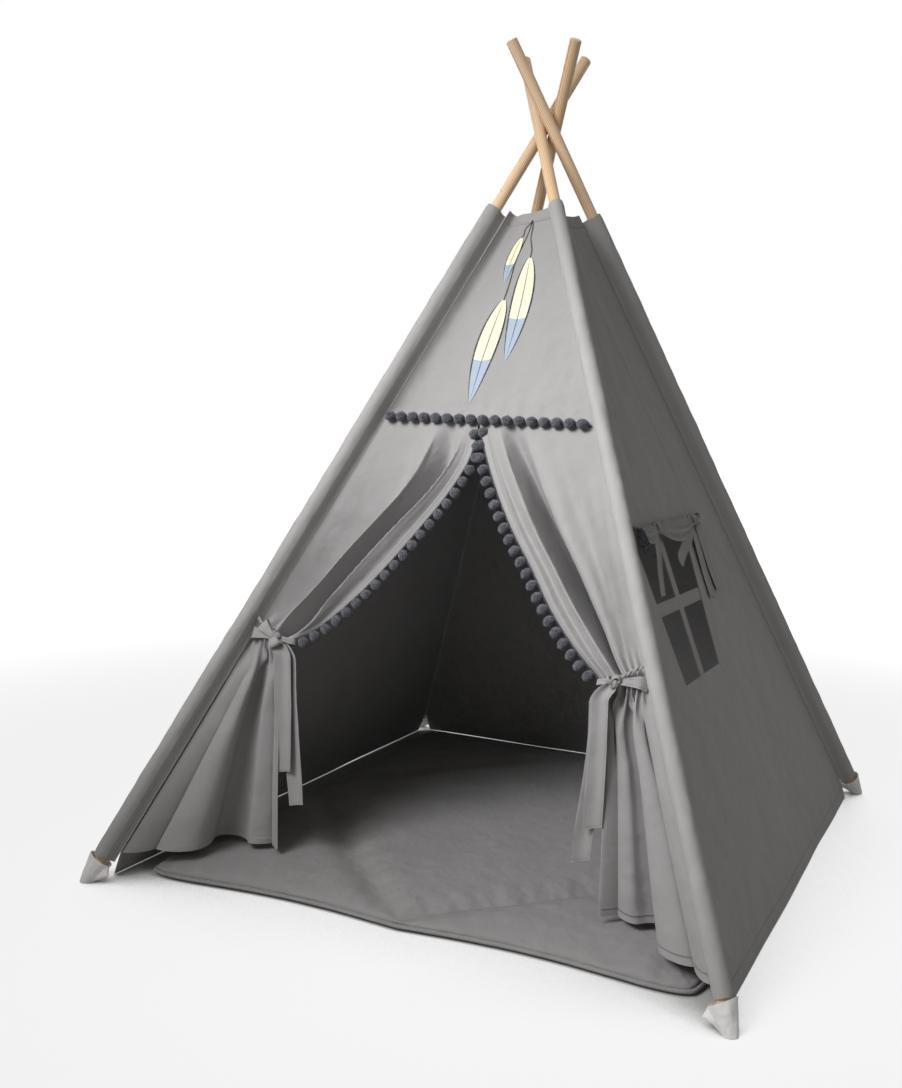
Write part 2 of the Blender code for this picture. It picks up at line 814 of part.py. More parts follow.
def make_tails(side, word, parent):
    """Two loose ends of the tie, hanging straight down from the knot."""
    knot = knot_centre(side)
    top = knot.z - KNOT_RADIUS - GAP
    for index, (layer, length) in enumerate(zip(("front", "back"), TAIL_LENGTHS)):
        middle = side * TAIL_PLACES[index]
        depth = knot.y + TAIL_STEP * (index - 0.5)

        def place(u, v, middle=middle, depth=depth, length=length):
            fall = 1.0 - v
            width = TAIL_NECK + (TAIL_WIDTH - TAIL_NECK) * min(1.0, fall * 4)
            centre = knot.x + (middle - knot.x) * min(1.0, fall * 3)
            across = centre + (u - 0.5) * width
            return Vector((across, depth, top - fall * length))

        cloth_sheet(
            "tie_tail_" + word + "_" + layer, 3, 10, place, GREY_CANVAS, TAIL_THICKNESS, parent
        )


# Floor mat

def mat_plan(u, v):
    """Plan position for u and v from -1 to 1: the edges are drawn in between the quilting's ends."""
    half = MAT_SIZE / 2

    def reach(main, cross):
        drawn = MAT_DRAW_IN * math.sin(math.pi * abs(cross)) + MAT_MIDDLE_IN * (1 - abs(cross))
        return main * (half - drawn * abs(main) ** 3)

    x = reach(u, v)
    y = reach(v, u)
    corner = MAT_CORNER * (abs(u) * abs(v)) ** 8
    return x - math.copysign(corner, u), y - math.copysign(corner, v)


def mat_top(u, v):
    """Height of the padded top, with a sewn channel along a diamond between the edges' middles."""
    crown = (1 - abs(u) ** 6) * (1 - abs(v) ** 6)
    height = MAT_EDGE + (MAT_THICKNESS - MAT_EDGE) * crown ** 0.5
    half = MAT_SIZE / 2
    off_line = abs(abs(u) + abs(v) - 1.0) * half / math.sqrt(2)
    channel = MAT_CHANNEL * math.exp(-((off_line / MAT_CHANNEL_WIDTH) ** 2))
    return max(MAT_EDGE, height - channel * crown ** 0.5)


def make_mat():
    work = bmesh.new()
    bmesh.ops.create_grid(work, x_segments=MAT_CELLS, y_segments=MAT_CELLS, size=1.0)
    for vertex in work.verts:
        u, v = vertex.co.x, vertex.co.y
        x, y = mat_plan(u, v)
        vertex.co = (x, y, mat_top(u, v))
    rim = [edge for edge in work.edges if edge.is_boundary]
    lowered = bmesh.ops.extrude_edge_only(work, edges=rim)["geom"]
    for vertex in [item for item in lowered if isinstance(item, bmesh.types.BMVert)]:
        vertex.co.z = 0.0
    low_rim = [edge for edge in lowered if isinstance(edge, bmesh.types.BMEdge)]
    bmesh.ops.holes_fill(work, edges=low_rim, sides=0)
    bmesh.ops.recalc_face_normals(work, faces=work.faces)
    mesh = bpy.data.meshes.new("floor_mat")
    work.to_mesh(mesh)
    work.free()
    mat = bpy.data.objects.new("floor_mat", mesh)
    TENT.objects.link(mat)
    smooth(mat)
    keep(mat, "floor_mat", MAT_COTTON)


def make_piping():
    """A round cord sewn along the mat's edge."""
    side = [-1 + 2 * step / MAT_CELLS for step in range(MAT_CELLS)]
    plan = [(u, -1) for u in side] + [(1, v) for v in side]
    plan += [(-u, 1) for u in side] + [(-1, -v) for v in side]
    edge = [Vector((*mat_plan(u, v), PIPING_HEIGHT)) for u, v in plan]
    route = []
    for index, place in enumerate(edge):
        along = (edge[(index + 1) % len(edge)] - edge[index - 1]).normalized()
        outward = Vector((along.y, -along.x, 0))
        route.append(place + outward * (PIPING_RADIUS + 3 * GAP))
    cord = tube("mat_piping", route, PIPING_RADIUS, 1)
    cord.data.splines[0].use_cyclic_u = True
    cord = as_mesh(cord)
    smooth(cord)
    keep(cord, "mat_piping", MAT_COTTON)


def make_floor_cutter():
    size = 2 * FOOT_SPAN
    bpy.ops.mesh.primitive_cube_add(size=size, location=(0, 0, -size / 2))
    return keep_cutter(bpy.context.object, "below_floor")


def build():
    fold = new_pivot("fold_pivot", (0, 0, CROSS_HEIGHT))
    floor_cutter = make_floor_cutter()
    for corner in CORNERS:
        parent = fold if corner.startswith("front") else None
        make_pole(corner, parent)
        make_cap(corner, floor_cutter, parent)
        make_pocket(corner, parent)

    make_wall("rear")
    make_wall("left")
    cut_window(make_wall("right"))
    make_window_cross()
    make_window_cord()
    make_window_dressing()
    make_front_panel(fold)
    make_front_trim(fold)

    for side, word in ((-1, "left"), (1, "right")):
        head = new_pivot("curtain_pivot_" + word, front_point(DOOR_SPLIT, TRIM_HEIGHT), fold)
        make_curtain(side, word, head)
        make_curtain_trim(side, word, head)
        make_tie_band(side, word, fold)
        knot = knot_centre(side)
        hang = new_pivot("tail_pivot_" + word, knot, fold)
        make_tails(side, word, hang)

    make_mat()
    make_piping()


build()
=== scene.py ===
"""Play tent: its cloth, cords, wood and padding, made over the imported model.

The origin is on the floor under the crossing of the poles, +Z is up, the doorway faces -Y and the
window wall faces +X. All sizes are in metres.
"""
import math

import bmesh
import bpy
from mathutils import Matrix, Vector, noise


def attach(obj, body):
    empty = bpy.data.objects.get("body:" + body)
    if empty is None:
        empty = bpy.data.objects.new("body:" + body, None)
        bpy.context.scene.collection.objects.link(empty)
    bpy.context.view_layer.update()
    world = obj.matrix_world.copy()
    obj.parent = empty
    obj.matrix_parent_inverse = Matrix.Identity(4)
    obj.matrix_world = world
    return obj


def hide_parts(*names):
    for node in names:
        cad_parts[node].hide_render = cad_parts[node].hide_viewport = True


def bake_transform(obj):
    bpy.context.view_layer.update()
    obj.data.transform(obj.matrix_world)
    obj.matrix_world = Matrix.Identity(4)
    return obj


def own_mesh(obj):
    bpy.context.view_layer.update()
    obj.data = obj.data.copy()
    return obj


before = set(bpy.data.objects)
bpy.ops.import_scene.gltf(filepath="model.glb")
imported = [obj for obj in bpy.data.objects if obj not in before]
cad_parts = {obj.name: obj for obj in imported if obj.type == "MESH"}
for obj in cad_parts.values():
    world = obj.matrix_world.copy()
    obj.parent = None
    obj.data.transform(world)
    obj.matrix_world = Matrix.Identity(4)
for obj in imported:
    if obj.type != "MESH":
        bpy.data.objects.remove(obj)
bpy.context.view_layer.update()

# The tent's measurements, as in the model
HALF_SPAN = 0.60
CROSS_HEIGHT = 1.40
CROSS_OFFSET = 0.01716
POLE_LENGTH = 1.785
POLE_RADIUS = 0.011
CAP_HEIGHT = 0.050
CAP_BOTTOM_RADIUS = 0.012
CAP_TOP_RADIUS = 0.023
CAP_FLOOR = 0.004
POCKET_CLOTH = 0.0024
POCKET_SLACK = 0.004
POCKET_FLAP = 0.024
SEAM_THICKNESS = 0.003
CLOTH = 0.0015
COVER_TOP = 1.245
TOP_DIP = 0.008
WALL_HEM = 0.0015
CORNER_HEM = 0.048
CORNER_HEM_REACH = 0.022
WALL_SAG = 0.005
TRIM_HEIGHT = 0.848
DOOR_SPLIT = -0.020
TIE_HEIGHT = 0.440
KNOT_REACH = 0.331
KNOT_HEIGHT = 0.442
KNOT_OUT = 0.0200
CURTAIN_HEM = 0.046
GAP = 0.0003

WINDOW_SILL = 0.413
WINDOW_HEAD = 0.667
WINDOW_FRONT = (-0.228, -0.236)
WINDOW_REAR = (-0.012, 0.055)
WINDOW_BAR = 0.024
WINDOW_BAR_OVERLAP = 0.010
WINDOW_CORD_HEIGHT = 0.676
WINDOW_CORD_ENDS = (-0.245, 0.135)
WINDOW_CORD_RADIUS = 0.002
WINDOW_BUTTON_RADIUS = 0.0065

SWAG_TIES = (-0.236, -0.125, 0.088, 0.126)
SWAG_DIPS = (0.029, 0.037, 0.019)
SWAG_TIED_DROP = 0.013
RIBBON_WIDTH = 0.027

POM_RADIUS = 0.0102
POM_PITCH = 0.0245
FRONT_TRIM_INSET = 0.016
FIRST_POM = 0.006  # from the top of the curtain's trim

MAT_SIZE = 1.10
MAT_THICKNESS = 0.035
MAT_EDGE = 0.013
MAT_DRAW_IN = 0.028
MAT_MIDDLE_IN = 0.030
MAT_CHANNEL = 0.016
MAT_CHANNEL_WIDTH = 0.030
MAT_CORNER = 0.035
PIPING_RADIUS = 0.0035
PIPING_HEIGHT = 0.0075

# Cloth thicknesses and cords of scene.py's own
CURTAIN_CLOTH = 0.0012
STRAP_CLOTH = 0.0012
SLEEVE_CLOTH = 0.0010
TAIL_CLOTH = 0.0009
RIBBON_CLOTH = 0.0008
TRIM_CORD_RADIUS = 0.0017
TRIM_CORD_TWIST = 0.008

WALL_TILT = math.atan2(HALF_SPAN, CROSS_HEIGHT)
WALL_UP = Vector((-math.sin(WALL_TILT), 0, math.cos(WALL_TILT)))  # up the right wall
CORNERS = {
    "front_left": (-1, -1),
    "front_right": (1, -1),
    "rear_right": (1, 1),
    "rear_left": (-1, 1),
}
WALL_CORNERS = {
    "front": ("front_left", "front_right"),
    "right": ("front_right", "rear_right"),
    "rear": ("rear_right", "rear_left"),
    "left": ("rear_left", "front_left"),
}
WALL_OUTWARD = {
    "front": Vector((0, -1, 0)),
    "right": Vector((1, 0, 0)),
    "rear": Vector((0, 1, 0)),
    "left": Vector((-1, 0, 0)),
}


# Places on the tent

def corner_body(corner):
    return "front_frame" if corner.startswith("front") else "rear_frame"


def pole_point(corner, height):
    across, along = CORNERS[corner]
    foot = Vector((across * HALF_SPAN, along * HALF_SPAN, 0.0))
    aside = Vector((along, -across, 0.0)).normalized() * CROSS_OFFSET
    return foot.lerp(aside + Vector((0, 0, CROSS_HEIGHT)), height / CROSS_HEIGHT)


def pole_direction(corner):
    return (pole_point(corner, CROSS_HEIGHT) - pole_point(corner, 0.0)).normalized()


def corner_axes(corner):
    """Outwards across the pole, round the tent, and up the pole."""
    up_pole = pole_direction(corner)
    outward = Vector((*CORNERS[corner], 0.0)).normalized()
    outward = (outward - outward.dot(up_pole) * up_pole).normalized()
    return outward, up_pole.cross(outward), up_pole


def seam_point(corner, height):
    outward = Vector((*CORNERS[corner], 0.0)).normalized()
    return pole_point(corner, height) - outward * (POCKET_FLAP / pole_direction(corner).z)


def wall_normal(wall):
    return WALL_OUTWARD[wall] * math.cos(WALL_TILT) + Vector((0, 0, math.sin(WALL_TILT)))


def wall_point(wall, share, height, out=0.0):
    first, second = WALL_CORNERS[wall]
    start = seam_point(first, height)
    end = seam_point(second, height)
    along = (end - start).normalized() * (SEAM_THICKNESS / 2)
    return (start + along).lerp(end - along, share) + wall_normal(wall) * out


def wall_width(wall, height):
    return (wall_point(wall, 1.0, height) - wall_point(wall, 0.0, height)).length


def wall_share(wall, place, height, axis):
    start = wall_point(wall, 0.0, height)[axis]
    end = wall_point(wall, 1.0, height)[axis]
    return (place - start) / (end - start)


def wall_sag(share, height):
    rise = (height - WALL_HEM) / (COVER_TOP - WALL_HEM)
    return -WALL_SAG * math.sin(math.pi * share) * math.sin(math.pi * min(max(rise, 0.0), 1.0))


def front_point(across, height, out=0.0):
    return wall_point("front", wall_share("front", across, height, 0), height, out)


def right_point(along, height, out=0.0):
    share = wall_share("right", along, height, 1)
    return wall_point("right", share, height, wall_sag(share, height) + out)


def ease(value, low, high):
    """0 below low, 1 above high and smooth between."""
    step = min(max((value - low) / (high - low), 0.0), 1.0)
    return step * step * (3 - 2 * step)


def evenly(start, end, count):
    return [start + (end - start) * step / count for step in range(count + 1)]


def circle(centre, side, up, radius, count):
    turns = [2 * math.pi * step / count for step in range(count)]
    return [centre + (side * math.cos(turn) + up * math.sin(turn)) * radius for turn in turns]


def curve_through(stops, values, place):
    """A smooth curve through values given at rising stops."""
    if place <= stops[0]:
        return values[0]
    last = len(stops) - 1
    if place >= stops[last]:
        return values[last]
    index = 0
    while place > stops[index + 1]:
        index += 1
    low, high = stops[index], stops[index + 1]
    width = high - low
    share = (place - low) / width

    def slope(at):
        before, after = max(at - 1, 0), min(at + 1, last)
        return (values[after] - values[before]) / (stops[after] - stops[before])

    square = share * share
    cube = square * share
    return (
        (2 * cube - 3 * square + 1) * values[index]
        + (cube - 2 * square + share) * width * slope(index)
        + (3 * square - 2 * cube) * values[index + 1]
        + (cube - square) * width * slope(index + 1)
    )


def softly(place, seed, scale=1.0):
    """Smooth noise from -1 to 1."""
    return noise.noise(Vector(place) * scale + Vector((seed * 7.31, seed * 3.17, seed * 1.73)))


# Materials

class Number:
    """A number in a material, for use in ordinary expressions."""

    def __init__(self, graph, socket):
        self.graph = graph
        self.socket = socket

    def _with(self, operation, *others):
        node = self.graph.tree.nodes.new("ShaderNodeMath")
        node.operation = operation
        for place, value in enumerate((self, *others)):
            self.graph.connect(node.inputs[place], value)
        return Number(self.graph, node.outputs[0])

    def __add__(self, other):
        return self._with("ADD", other)

    __radd__ = __add__

    def __mul__(self, other):
        return self._with("MULTIPLY", other)

    __rmul__ = __mul__

    def __sub__(self, other):
        return self._with("SUBTRACT", other)

    def __rsub__(self, other):
        return (self * -1.0)._with("ADD", other)

    def __truediv__(self, other):
        return self._with("DIVIDE", other)

    def __pow__(self, other):
        return self._with("POWER", other)

    def sine(self):
        return self._with("SINE")

    def size(self):
        return self._with("ABSOLUTE")

    def fraction(self):
        return self._with("FRACT")

    def at_least(self, other):
        return self._with("MAXIMUM", other)

    def band(self, low, high):
        """Rises smoothly from 0 at low to 1 at high."""
        sockets = {"Value": self, "From Min": low, "From Max": high}
        ramp = self.graph.add("ShaderNodeMapRange", {"interpolation_type": "SMOOTHSTEP"}, sockets)
        return Number(self.graph, ramp.outputs["Result"])


class Graph:
    """The nodes of a material or of the surroundings."""

    def __init__(self, tree):
        self.tree = tree

    def connect(self, socket, value):
        if isinstance(value, Number):
            self.tree.links.new(value.socket, socket)
        elif isinstance(value, bpy.types.NodeSocket):
            self.tree.links.new(value, socket)
        else:
            socket.default_value = value

    def add(self, kind, settings, sockets):
        node = self.tree.nodes.new(kind)
        for name, value in settings.items():
            setattr(node, name, value)
        for name, value in sockets.items():
            self.connect(node.inputs[name], value)
        return node

    def mix(self, share, first, second):
        sockets = {0: share, 6: self.colour(first), 7: self.colour(second)}
        return self.add("ShaderNodeMix", {"data_type": "RGBA"}, sockets).outputs[2]

    def colour(self, value):
        return (*value, 1.0) if isinstance(value, tuple) else value

    def seen(self):
        """1 where the camera looks, straight or in a gloss, and 0 for the light on other things."""
        rays = self.add("ShaderNodeLightPath", {}, {}).outputs
        return Number(self, rays["Is Camera Ray"]).at_least(Number(self, rays["Is Glossy Ray"]))


class Finish(Graph):
    """A material in the making."""

    def __init__(self, name, roughness=0.9, sheen=0.0, specular=0.5):
        self.material = bpy.data.materials.new(name)
        self.material.use_nodes = True
        super().__init__(self.material.node_tree)
        self.shader = self.tree.nodes["Principled BSDF"]
        self.shader.inputs["Roughness"].default_value = roughness
        self.shader.inputs["Sheen Weight"].default_value = sheen
        self.shader.inputs["Specular IOR Level"].default_value = specular

    def place(self, name=None):
        """The vector that patterns are laid out on: an attribute of the piece, or Object coordinates."""
        if name:
            return self.add("ShaderNodeAttribute", {"attribute_name": name}, {}).outputs["Vector"]
        return self.add("ShaderNodeTexCoord", {}, {}).outputs["Object"]

    def parts(self, vector):
        split = self.add("ShaderNodeSeparateXYZ", {}, {0: vector})
        return [Number(self, output) for output in split.outputs]

    def noise(self, vector, scale, detail=2.0, roughness=0.5):
        sockets = {"Vector": vector, "Scale": scale, "Detail": detail, "Roughness": roughness}
        return Number(self, self.add("ShaderNodeTexNoise", {}, sockets).outputs[0])

    def drawn_noise(self, vector, scales, detail=2.0, roughness=0.5):
        """Noise with a scale of its own along each axis."""
        moved = self.add("ShaderNodeVectorMath", {"operation": "MULTIPLY"}, {0: vector, 1: scales})
        return self.noise(moved.outputs[0], 1.0, detail, roughness)

    def bump(self, height, depth, strength=1.0, under=None):
        sockets = {"Height": height, "Distance": depth, "Strength": strength}
        if under is not None:
            sockets["Normal"] = under
        return self.add("ShaderNodeBump", {}, sockets).outputs[0]

    def finish(self, colour, normal=None, tone=None):
        """The material, in a colour that a number round 1 makes lighter or darker."""
        if tone is not None:
            dimmed = {0: colour, "Scale": tone}
            colour = self.add("ShaderNodeVectorMath", {"operation": "SCALE"}, dimmed).outputs[0]
        self.connect(self.shader.inputs["Base Color"], self.colour(colour))
        if normal is not None:
            self.connect(self.shader.inputs["Normal"], normal)
        return self.material


# Colours, linear
CANVAS_GREY = (0.335, 0.330, 0.332)
SLEEVE_GREY = (0.385, 0.380, 0.378)
# The ribbons' grey is the cover's canvas made a little darker: painted shade.
RIBBON_SHADED_GREY = (0.325, 0.320, 0.322)
# The swag's grey is the cover's canvas made darker: painted shade.
SWAG_SHADED_GREY = (0.30, 0.297, 0.295)
MAT_GREY = (0.275, 0.270, 0.272)
PALE_PINE = (0.90, 0.68, 0.46)
DEEP_PINE = (0.80, 0.56, 0.345)
LATE_WOOD = (0.42, 0.20, 0.08)
# Wool colours: the charcoal yarn spread into painted shade (dark) and painted highlight (light).
WOOL_SHADED = (0.018, 0.019, 0.027)
WOOL_LIT = (0.150, 0.155, 0.190)
CAP_WHITE = (0.87, 0.87, 0.86)
CAP_LOW_GREY = (0.50, 0.49, 0.47)
PRINT_CREAM = (0.86, 0.82, 0.60)
PRINT_BLUE = (0.36, 0.44, 0.55)
PRINT_VEIN = (0.045, 0.05, 0.06)
PRINT_RIM = (0.025, 0.027, 0.032)
PRINT_WORN = (0.36, 0.36, 0.35)
INK = (0.022, 0.024, 0.028)
INK_WORN = (0.20, 0.20, 0.20)

THREAD_PITCH = 0.0011
THREAD_DEPTH = 0.0003
STITCH_LENGTH = 0.0042
QUILT_STITCH_LENGTH = 0.0045
SLUB_FINE = 900.0
SLUB_LONG = 38.0
RING_PITCH = 0.0030
PITH = (0.034, -0.021)


def woven(made, lay):
    """The bump of a plain weave, from metres across and along the cloth."""
    across, along = made.parts(lay)[:2]
    turns = math.pi / THREAD_PITCH
    warp = (across * turns).sine().size()
    weft = (along * turns).sine().size()
    over = (across * (turns / 2)).sine() * (along * (turns / 2)).sine()
    top = over.band(-0.3, 0.3)
    return made.bump(warp * top + weft * (1.0 - top), THREAD_DEPTH, 0.5)


def canvas(name, colour, creases=1.0, hem=0.0, stitch_at=0.0):
    """Plain woven cotton: threads, slubs, soft creases, and a stitched hem where the cloth has one."""
    made = Finish(name, roughness=0.88, sheen=0.12, specular=0.25)
    lay = made.place("cloth")
    across, _, edge = made.parts(lay)
    slubs = made.drawn_noise(lay, (SLUB_LONG, SLUB_FINE, 0.0), 1.0)
    picks = made.drawn_noise(lay, (SLUB_FINE, SLUB_LONG, 0.0), 1.0)
    patches = made.noise(made.place(), 9.0, 3.0)
    tone = 0.90 + slubs * 0.05 + picks * 0.05 + patches * 0.10
    soft = made.noise(made.place(), 16.0, 3.0, 0.45)
    normal = made.bump(soft, 0.010 * creases, 1.0, woven(made, lay))
    if hem:
        folded = 1.0 - edge.band(hem - 0.0012, hem + 0.0012)
        normal = made.bump(folded, 0.0014, 1.0, normal)
        tone = tone + folded * 0.02 - (1.0 - (edge - hem).size().band(0.0, 0.0022)) * 0.06
    if stitch_at:
        on_line = 1.0 - (edge - stitch_at).size().band(0.0002, 0.0010)
        stitch = (across / STITCH_LENGTH).fraction()
        dash = stitch.band(0.18, 0.34) * (1.0 - stitch.band(0.82, 0.98))
        normal = made.bump(on_line * (dash * 0.8 - 0.5), 0.0010, 1.0, normal)
        tone = tone - on_line * 0.16 + on_line * dash * 0.20
    return made.finish(colour, normal, tone)


def pine_wood():
    """Clear pine: rings cut along the pole, fine fibre and a satin lacquer."""
    made = Finish("pine_pole", roughness=0.42, specular=0.45)
    lay = made.place("grain")
    wander = made.drawn_noise(lay, (24.0, 24.0, 1.6))
    x, y, z = made.parts(lay)
    pith_x = x - PITH[0]
    pith_y = y - PITH[1]
    radius = (pith_x * pith_x + pith_y * pith_y) ** 0.5
    rings = ((radius + wander * 0.012 + z * 0.0011) / RING_PITCH).fraction()
    late = rings.band(0.45, 0.95) * (1.0 - rings.band(0.96, 1.0))
    fibre = made.drawn_noise(lay, (900.0, 900.0, 9.0))
    patches = made.drawn_noise(lay, (18.0, 18.0, 2.4))
    pale = made.mix(patches.band(0.3, 0.7), PALE_PINE, DEEP_PINE)
    colour = made.mix(late * 0.6, pale, LATE_WOOD)
    normal = made.bump(fibre * 0.6 + late * 0.4, 0.0003, 0.6)
    made.connect(made.shader.inputs["Roughness"], 0.38 + fibre * 0.14)
    return made.finish(colour, normal, 0.93 + fibre * 0.14)


def pom_wool():
    """Tightly felted charcoal yarn, with painted highlights on its tufts and painted shade between them."""
    made = Finish("charcoal_wool", roughness=0.95, sheen=0.35, specular=0.2)
    tufts_and_shading = made.noise(made.place(), 420.0, 3.0, 0.6)
    fuzz = made.noise(made.place(), 1500.0, 2.0)
    normal = made.bump(fuzz, 0.0006, 0.7, made.bump(tufts_and_shading, 0.0030, 1.0))
    # The colour follows the tufts' bump: painted highlight on the raised tufts, painted shade between them.
    return made.finish(made.mix(tufts_and_shading.band(0.35, 0.7), WOOL_SHADED, WOOL_LIT), normal)


def cap_cloth():
    """White coated cloth of the foot caps, a little darker in patches near the floor."""
    made = Finish("white_cap", roughness=0.62, specular=0.4)
    place = made.place()
    height = made.parts(place)[2]
    grain = made.noise(place, 700.0, 2.0)
    folds = made.noise(place, 45.0, 2.0)
    blotches = made.drawn_noise(place, (60.0, 60.0, 25.0), 4.0, 0.6)
    # Darker in patches towards the bottom.
    low_patches = (1.0 - height.band(0.004, 0.030)) * blotches.band(0.45, 0.7)
    normal = made.bump(folds, 0.005, 0.8, made.bump(grain, 0.0004, 0.5))
    # The tone follows the fold bump: painted shade in the folds' hollows and painted light on their crests.
    return made.finish(made.mix(low_patches * 0.3, CAP_WHITE, CAP_LOW_GREY), normal, 0.95 + folds * 0.08)


def mat_cotton():
    """The mat's cotton, softer than the cover's and puckered along its seams."""
    made = Finish("mat_cotton", roughness=0.9, sheen=0.15, specular=0.2)
    place = made.place()
    x, y = made.parts(place)[:2]
    lay = made.add("ShaderNodeCombineXYZ", {}, {0: x, 1: y, 2: 0.0}).outputs[0]
    to_seam, along_seam = made.parts(made.place("quilt"))[:2]
    soft = made.noise(place, 14.0, 3.0, 0.5)
    normal = made.bump(soft, 0.012, 1.0, woven(made, lay))
    on_seam = 1.0 - to_seam.band(0.0004, 0.0016)
    dash = (along_seam / QUILT_STITCH_LENGTH).fraction().band(0.15, 0.35)
    normal = made.bump(on_seam * (dash - 0.6), 0.0012, 1.0, normal)
    slubs = made.drawn_noise(place, (SLUB_LONG, SLUB_FINE, 10.0), 1.0)
    patches = made.noise(place, 7.0, 3.0)
    tone = 0.92 + slubs * 0.06 + patches * 0.10 - on_seam * (0.22 - dash * 0.12)
    return made.finish(MAT_GREY, normal, tone)


def leaf_print(name, tip):
    """Soft fabric print: cream with a pale blue end and a dark edge, worn thin over the weave."""
    made = Finish(name, roughness=0.75, specular=0.3)
    aside, along = made.parts(made.place("cloth"))[:2]
    thin = made.noise(made.place(), 500.0, 2.0).band(0.30, 0.42)
    colour = made.mix(along.band(tip - 0.004, tip + 0.004), PRINT_CREAM, PRINT_BLUE)
    vein = 1.0 - aside.size().band(0.04, 0.075)
    colour = made.mix(vein * 0.75, colour, PRINT_VEIN)
    colour = made.mix(aside.size().band(0.80, 0.88), colour, PRINT_RIM)
    return made.finish(made.mix(thin, PRINT_WORN, colour), woven(made, made.place("weave")))


def print_ink():
    made = Finish("print_ink", roughness=0.75, specular=0.3)
    thin = made.noise(made.place(), 500.0, 2.0).band(0.28, 0.40)
    return made.finish(made.mix(thin, INK_WORN, INK))


PINE = pine_wood()
COVER_CANVAS = canvas("grey_canvas", CANVAS_GREY, hem=0.022, stitch_at=0.0195)
CURTAIN_CANVAS = canvas("curtain_canvas", CANVAS_GREY, creases=0.7, hem=0.014, stitch_at=0.0115)
SLEEVE_CANVAS = canvas("pocket_canvas", SLEEVE_GREY, creases=0.6, stitch_at=0.0125)
RIBBON_CANVAS = canvas("ribbon_canvas", RIBBON_SHADED_GREY, creases=0.5, stitch_at=0.0035)
SWAG_CANVAS = canvas("swag_canvas", SWAG_SHADED_GREY, creases=0.4, stitch_at=0.005)
WOOL = pom_wool()
CAP_CLOTH = cap_cloth()
MAT_COTTON = mat_cotton()


# Making pieces

def deselect():
    for item in bpy.context.selected_objects:
        item.select_set(False)


def activate(item):
    deselect()
    bpy.context.view_layer.objects.active = item
    item.select_set(True)


def settle(item, name, finish):
    """Bakes the piece's place into its mesh and gives it its name and finish."""
    bpy.context.view_layer.update()
    item.data.transform(item.matrix_world)
    item.matrix_world = Matrix.Identity(4)
    item.name = name
    item.data.name = name
    item.data.materials.clear()
    item.data.materials.append(finish)
    return item


def apply_modifiers(item):
    activate(item)
    for modifier in list(item.modifiers):
        bpy.ops.object.modifier_apply(modifier=modifier.name)
    item.select_set(False)


def thicken(item, thickness):
    solid = item.modifiers.new("cloth", "SOLIDIFY")
    solid.thickness = thickness
    solid.offset = 0.0
    apply_modifiers(item)


def smooth(item, degrees=40):
    activate(item)
    bpy.ops.object.shade_smooth_by_angle(angle=math.radians(degrees))
    item.select_set(False)


def join(item, others):
    activate(item)
    for other in others:
        other.select_set(True)
    bpy.ops.object.join()


def add_vectors(mesh, attribute, values):
    layer = mesh.attributes.new(attribute, "FLOAT_VECTOR", "POINT")
    layer.data.foreach_set("vector", [number for value in values for number in value])


def grid_faces(across, rows, first=0, ring=False, turned=False, keep=None):
    """Faces of a grid of points laid out row by row. A ring closes each row on itself."""
    wide = across if ring else across + 1
    faces = []
    for row in range(rows):
        for column in range(across):
            if keep is None or keep(column, row):
                low = first + row * wide
                after = (column + 1) % wide
                a, b, c, d = low + column, low + after, low + wide + after, low + wide + column
                faces.append((a, d, c, b) if turned else (a, b, c, d))
    return faces


def new_mesh(name, corners, faces, attribute=None, values=None):
    mesh = bpy.data.meshes.new(name)
    mesh.from_pydata(corners, [], faces)
    if attribute:
        add_vectors(mesh, attribute, values)
    mesh.update()
    item = bpy.data.objects.new(name, mesh)
    bpy.context.scene.collection.objects.link(item)
    return item


def sheet(name, columns, rows, place, finish, lay, thickness=CLOTH, keep=None):
    """A cloth laid out by place(u, v). lay(u, v) gives metres across, along, and in from the hem."""
    spots = [(column / columns, row / rows) for row in range(rows + 1) for column in range(columns + 1)]
    corners = [place(u, v) for u, v in spots]
    values = [lay(u, v) for u, v in spots]
    item = new_mesh(name, corners, grid_faces(columns, rows, keep=keep), "cloth", values)
    if keep is not None:
        rework(item, drop_loose)
    thicken(item, thickness)
    settle(item, name, finish)
    smooth(item, 50)
    return item


def rework(item, change):
    """Changes the piece's mesh by a function of its bmesh."""
    work = bmesh.new()
    work.from_mesh(item.data)
    change(work)
    work.to_mesh(item.data)
    work.free()


def drop_loose(work):
    loose = [vertex for vertex in work.verts if not vertex.link_faces]
    bmesh.ops.delete(work, geom=loose, context="VERTS")


def fix_normals(work):
    bmesh.ops.remove_doubles(work, verts=work.verts, dist=0.00001)
    bmesh.ops.recalc_face_normals(work, faces=work.faces)


def add_underside(work):
    """Closes the mat below its rim."""
    rim = [edge for edge in work.edges if edge.is_boundary]
    for height, inset in MAT_UNDERSIDE:
        lowered = bmesh.ops.extrude_edge_only(work, edges=rim)["geom"]
        for vertex in [part for part in lowered if isinstance(part, bmesh.types.BMVert)]:
            plan = Vector((vertex.co.x, vertex.co.y, 0))
            vertex.co = plan * (1 - inset / max(plan.length, 0.1)) + Vector((0, 0, height))
        rim = [part for part in lowered if isinstance(part, bmesh.types.BMEdge)]
    bmesh.ops.holes_fill(work, edges=rim, sides=0)
    bmesh.ops.recalc_face_normals(work, faces=work.faces)


def bend(item, weights):
    """Bakes the piece's place into its mesh. The weights, one for each of its points, are not used."""
    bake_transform(item)


def side_weight(point):
    """How much a point of a side wall goes with the front frame."""
    half = max(HALF_SPAN * (1 - point.z / CROSS_HEIGHT) - 0.012, 0.01)
    return min(max(0.5 - point.y / (2 * half), 0.0), 1.0)


def bend_with_side(item):
    bend(item, [side_weight(vertex.co) for vertex in item.data.vertices])


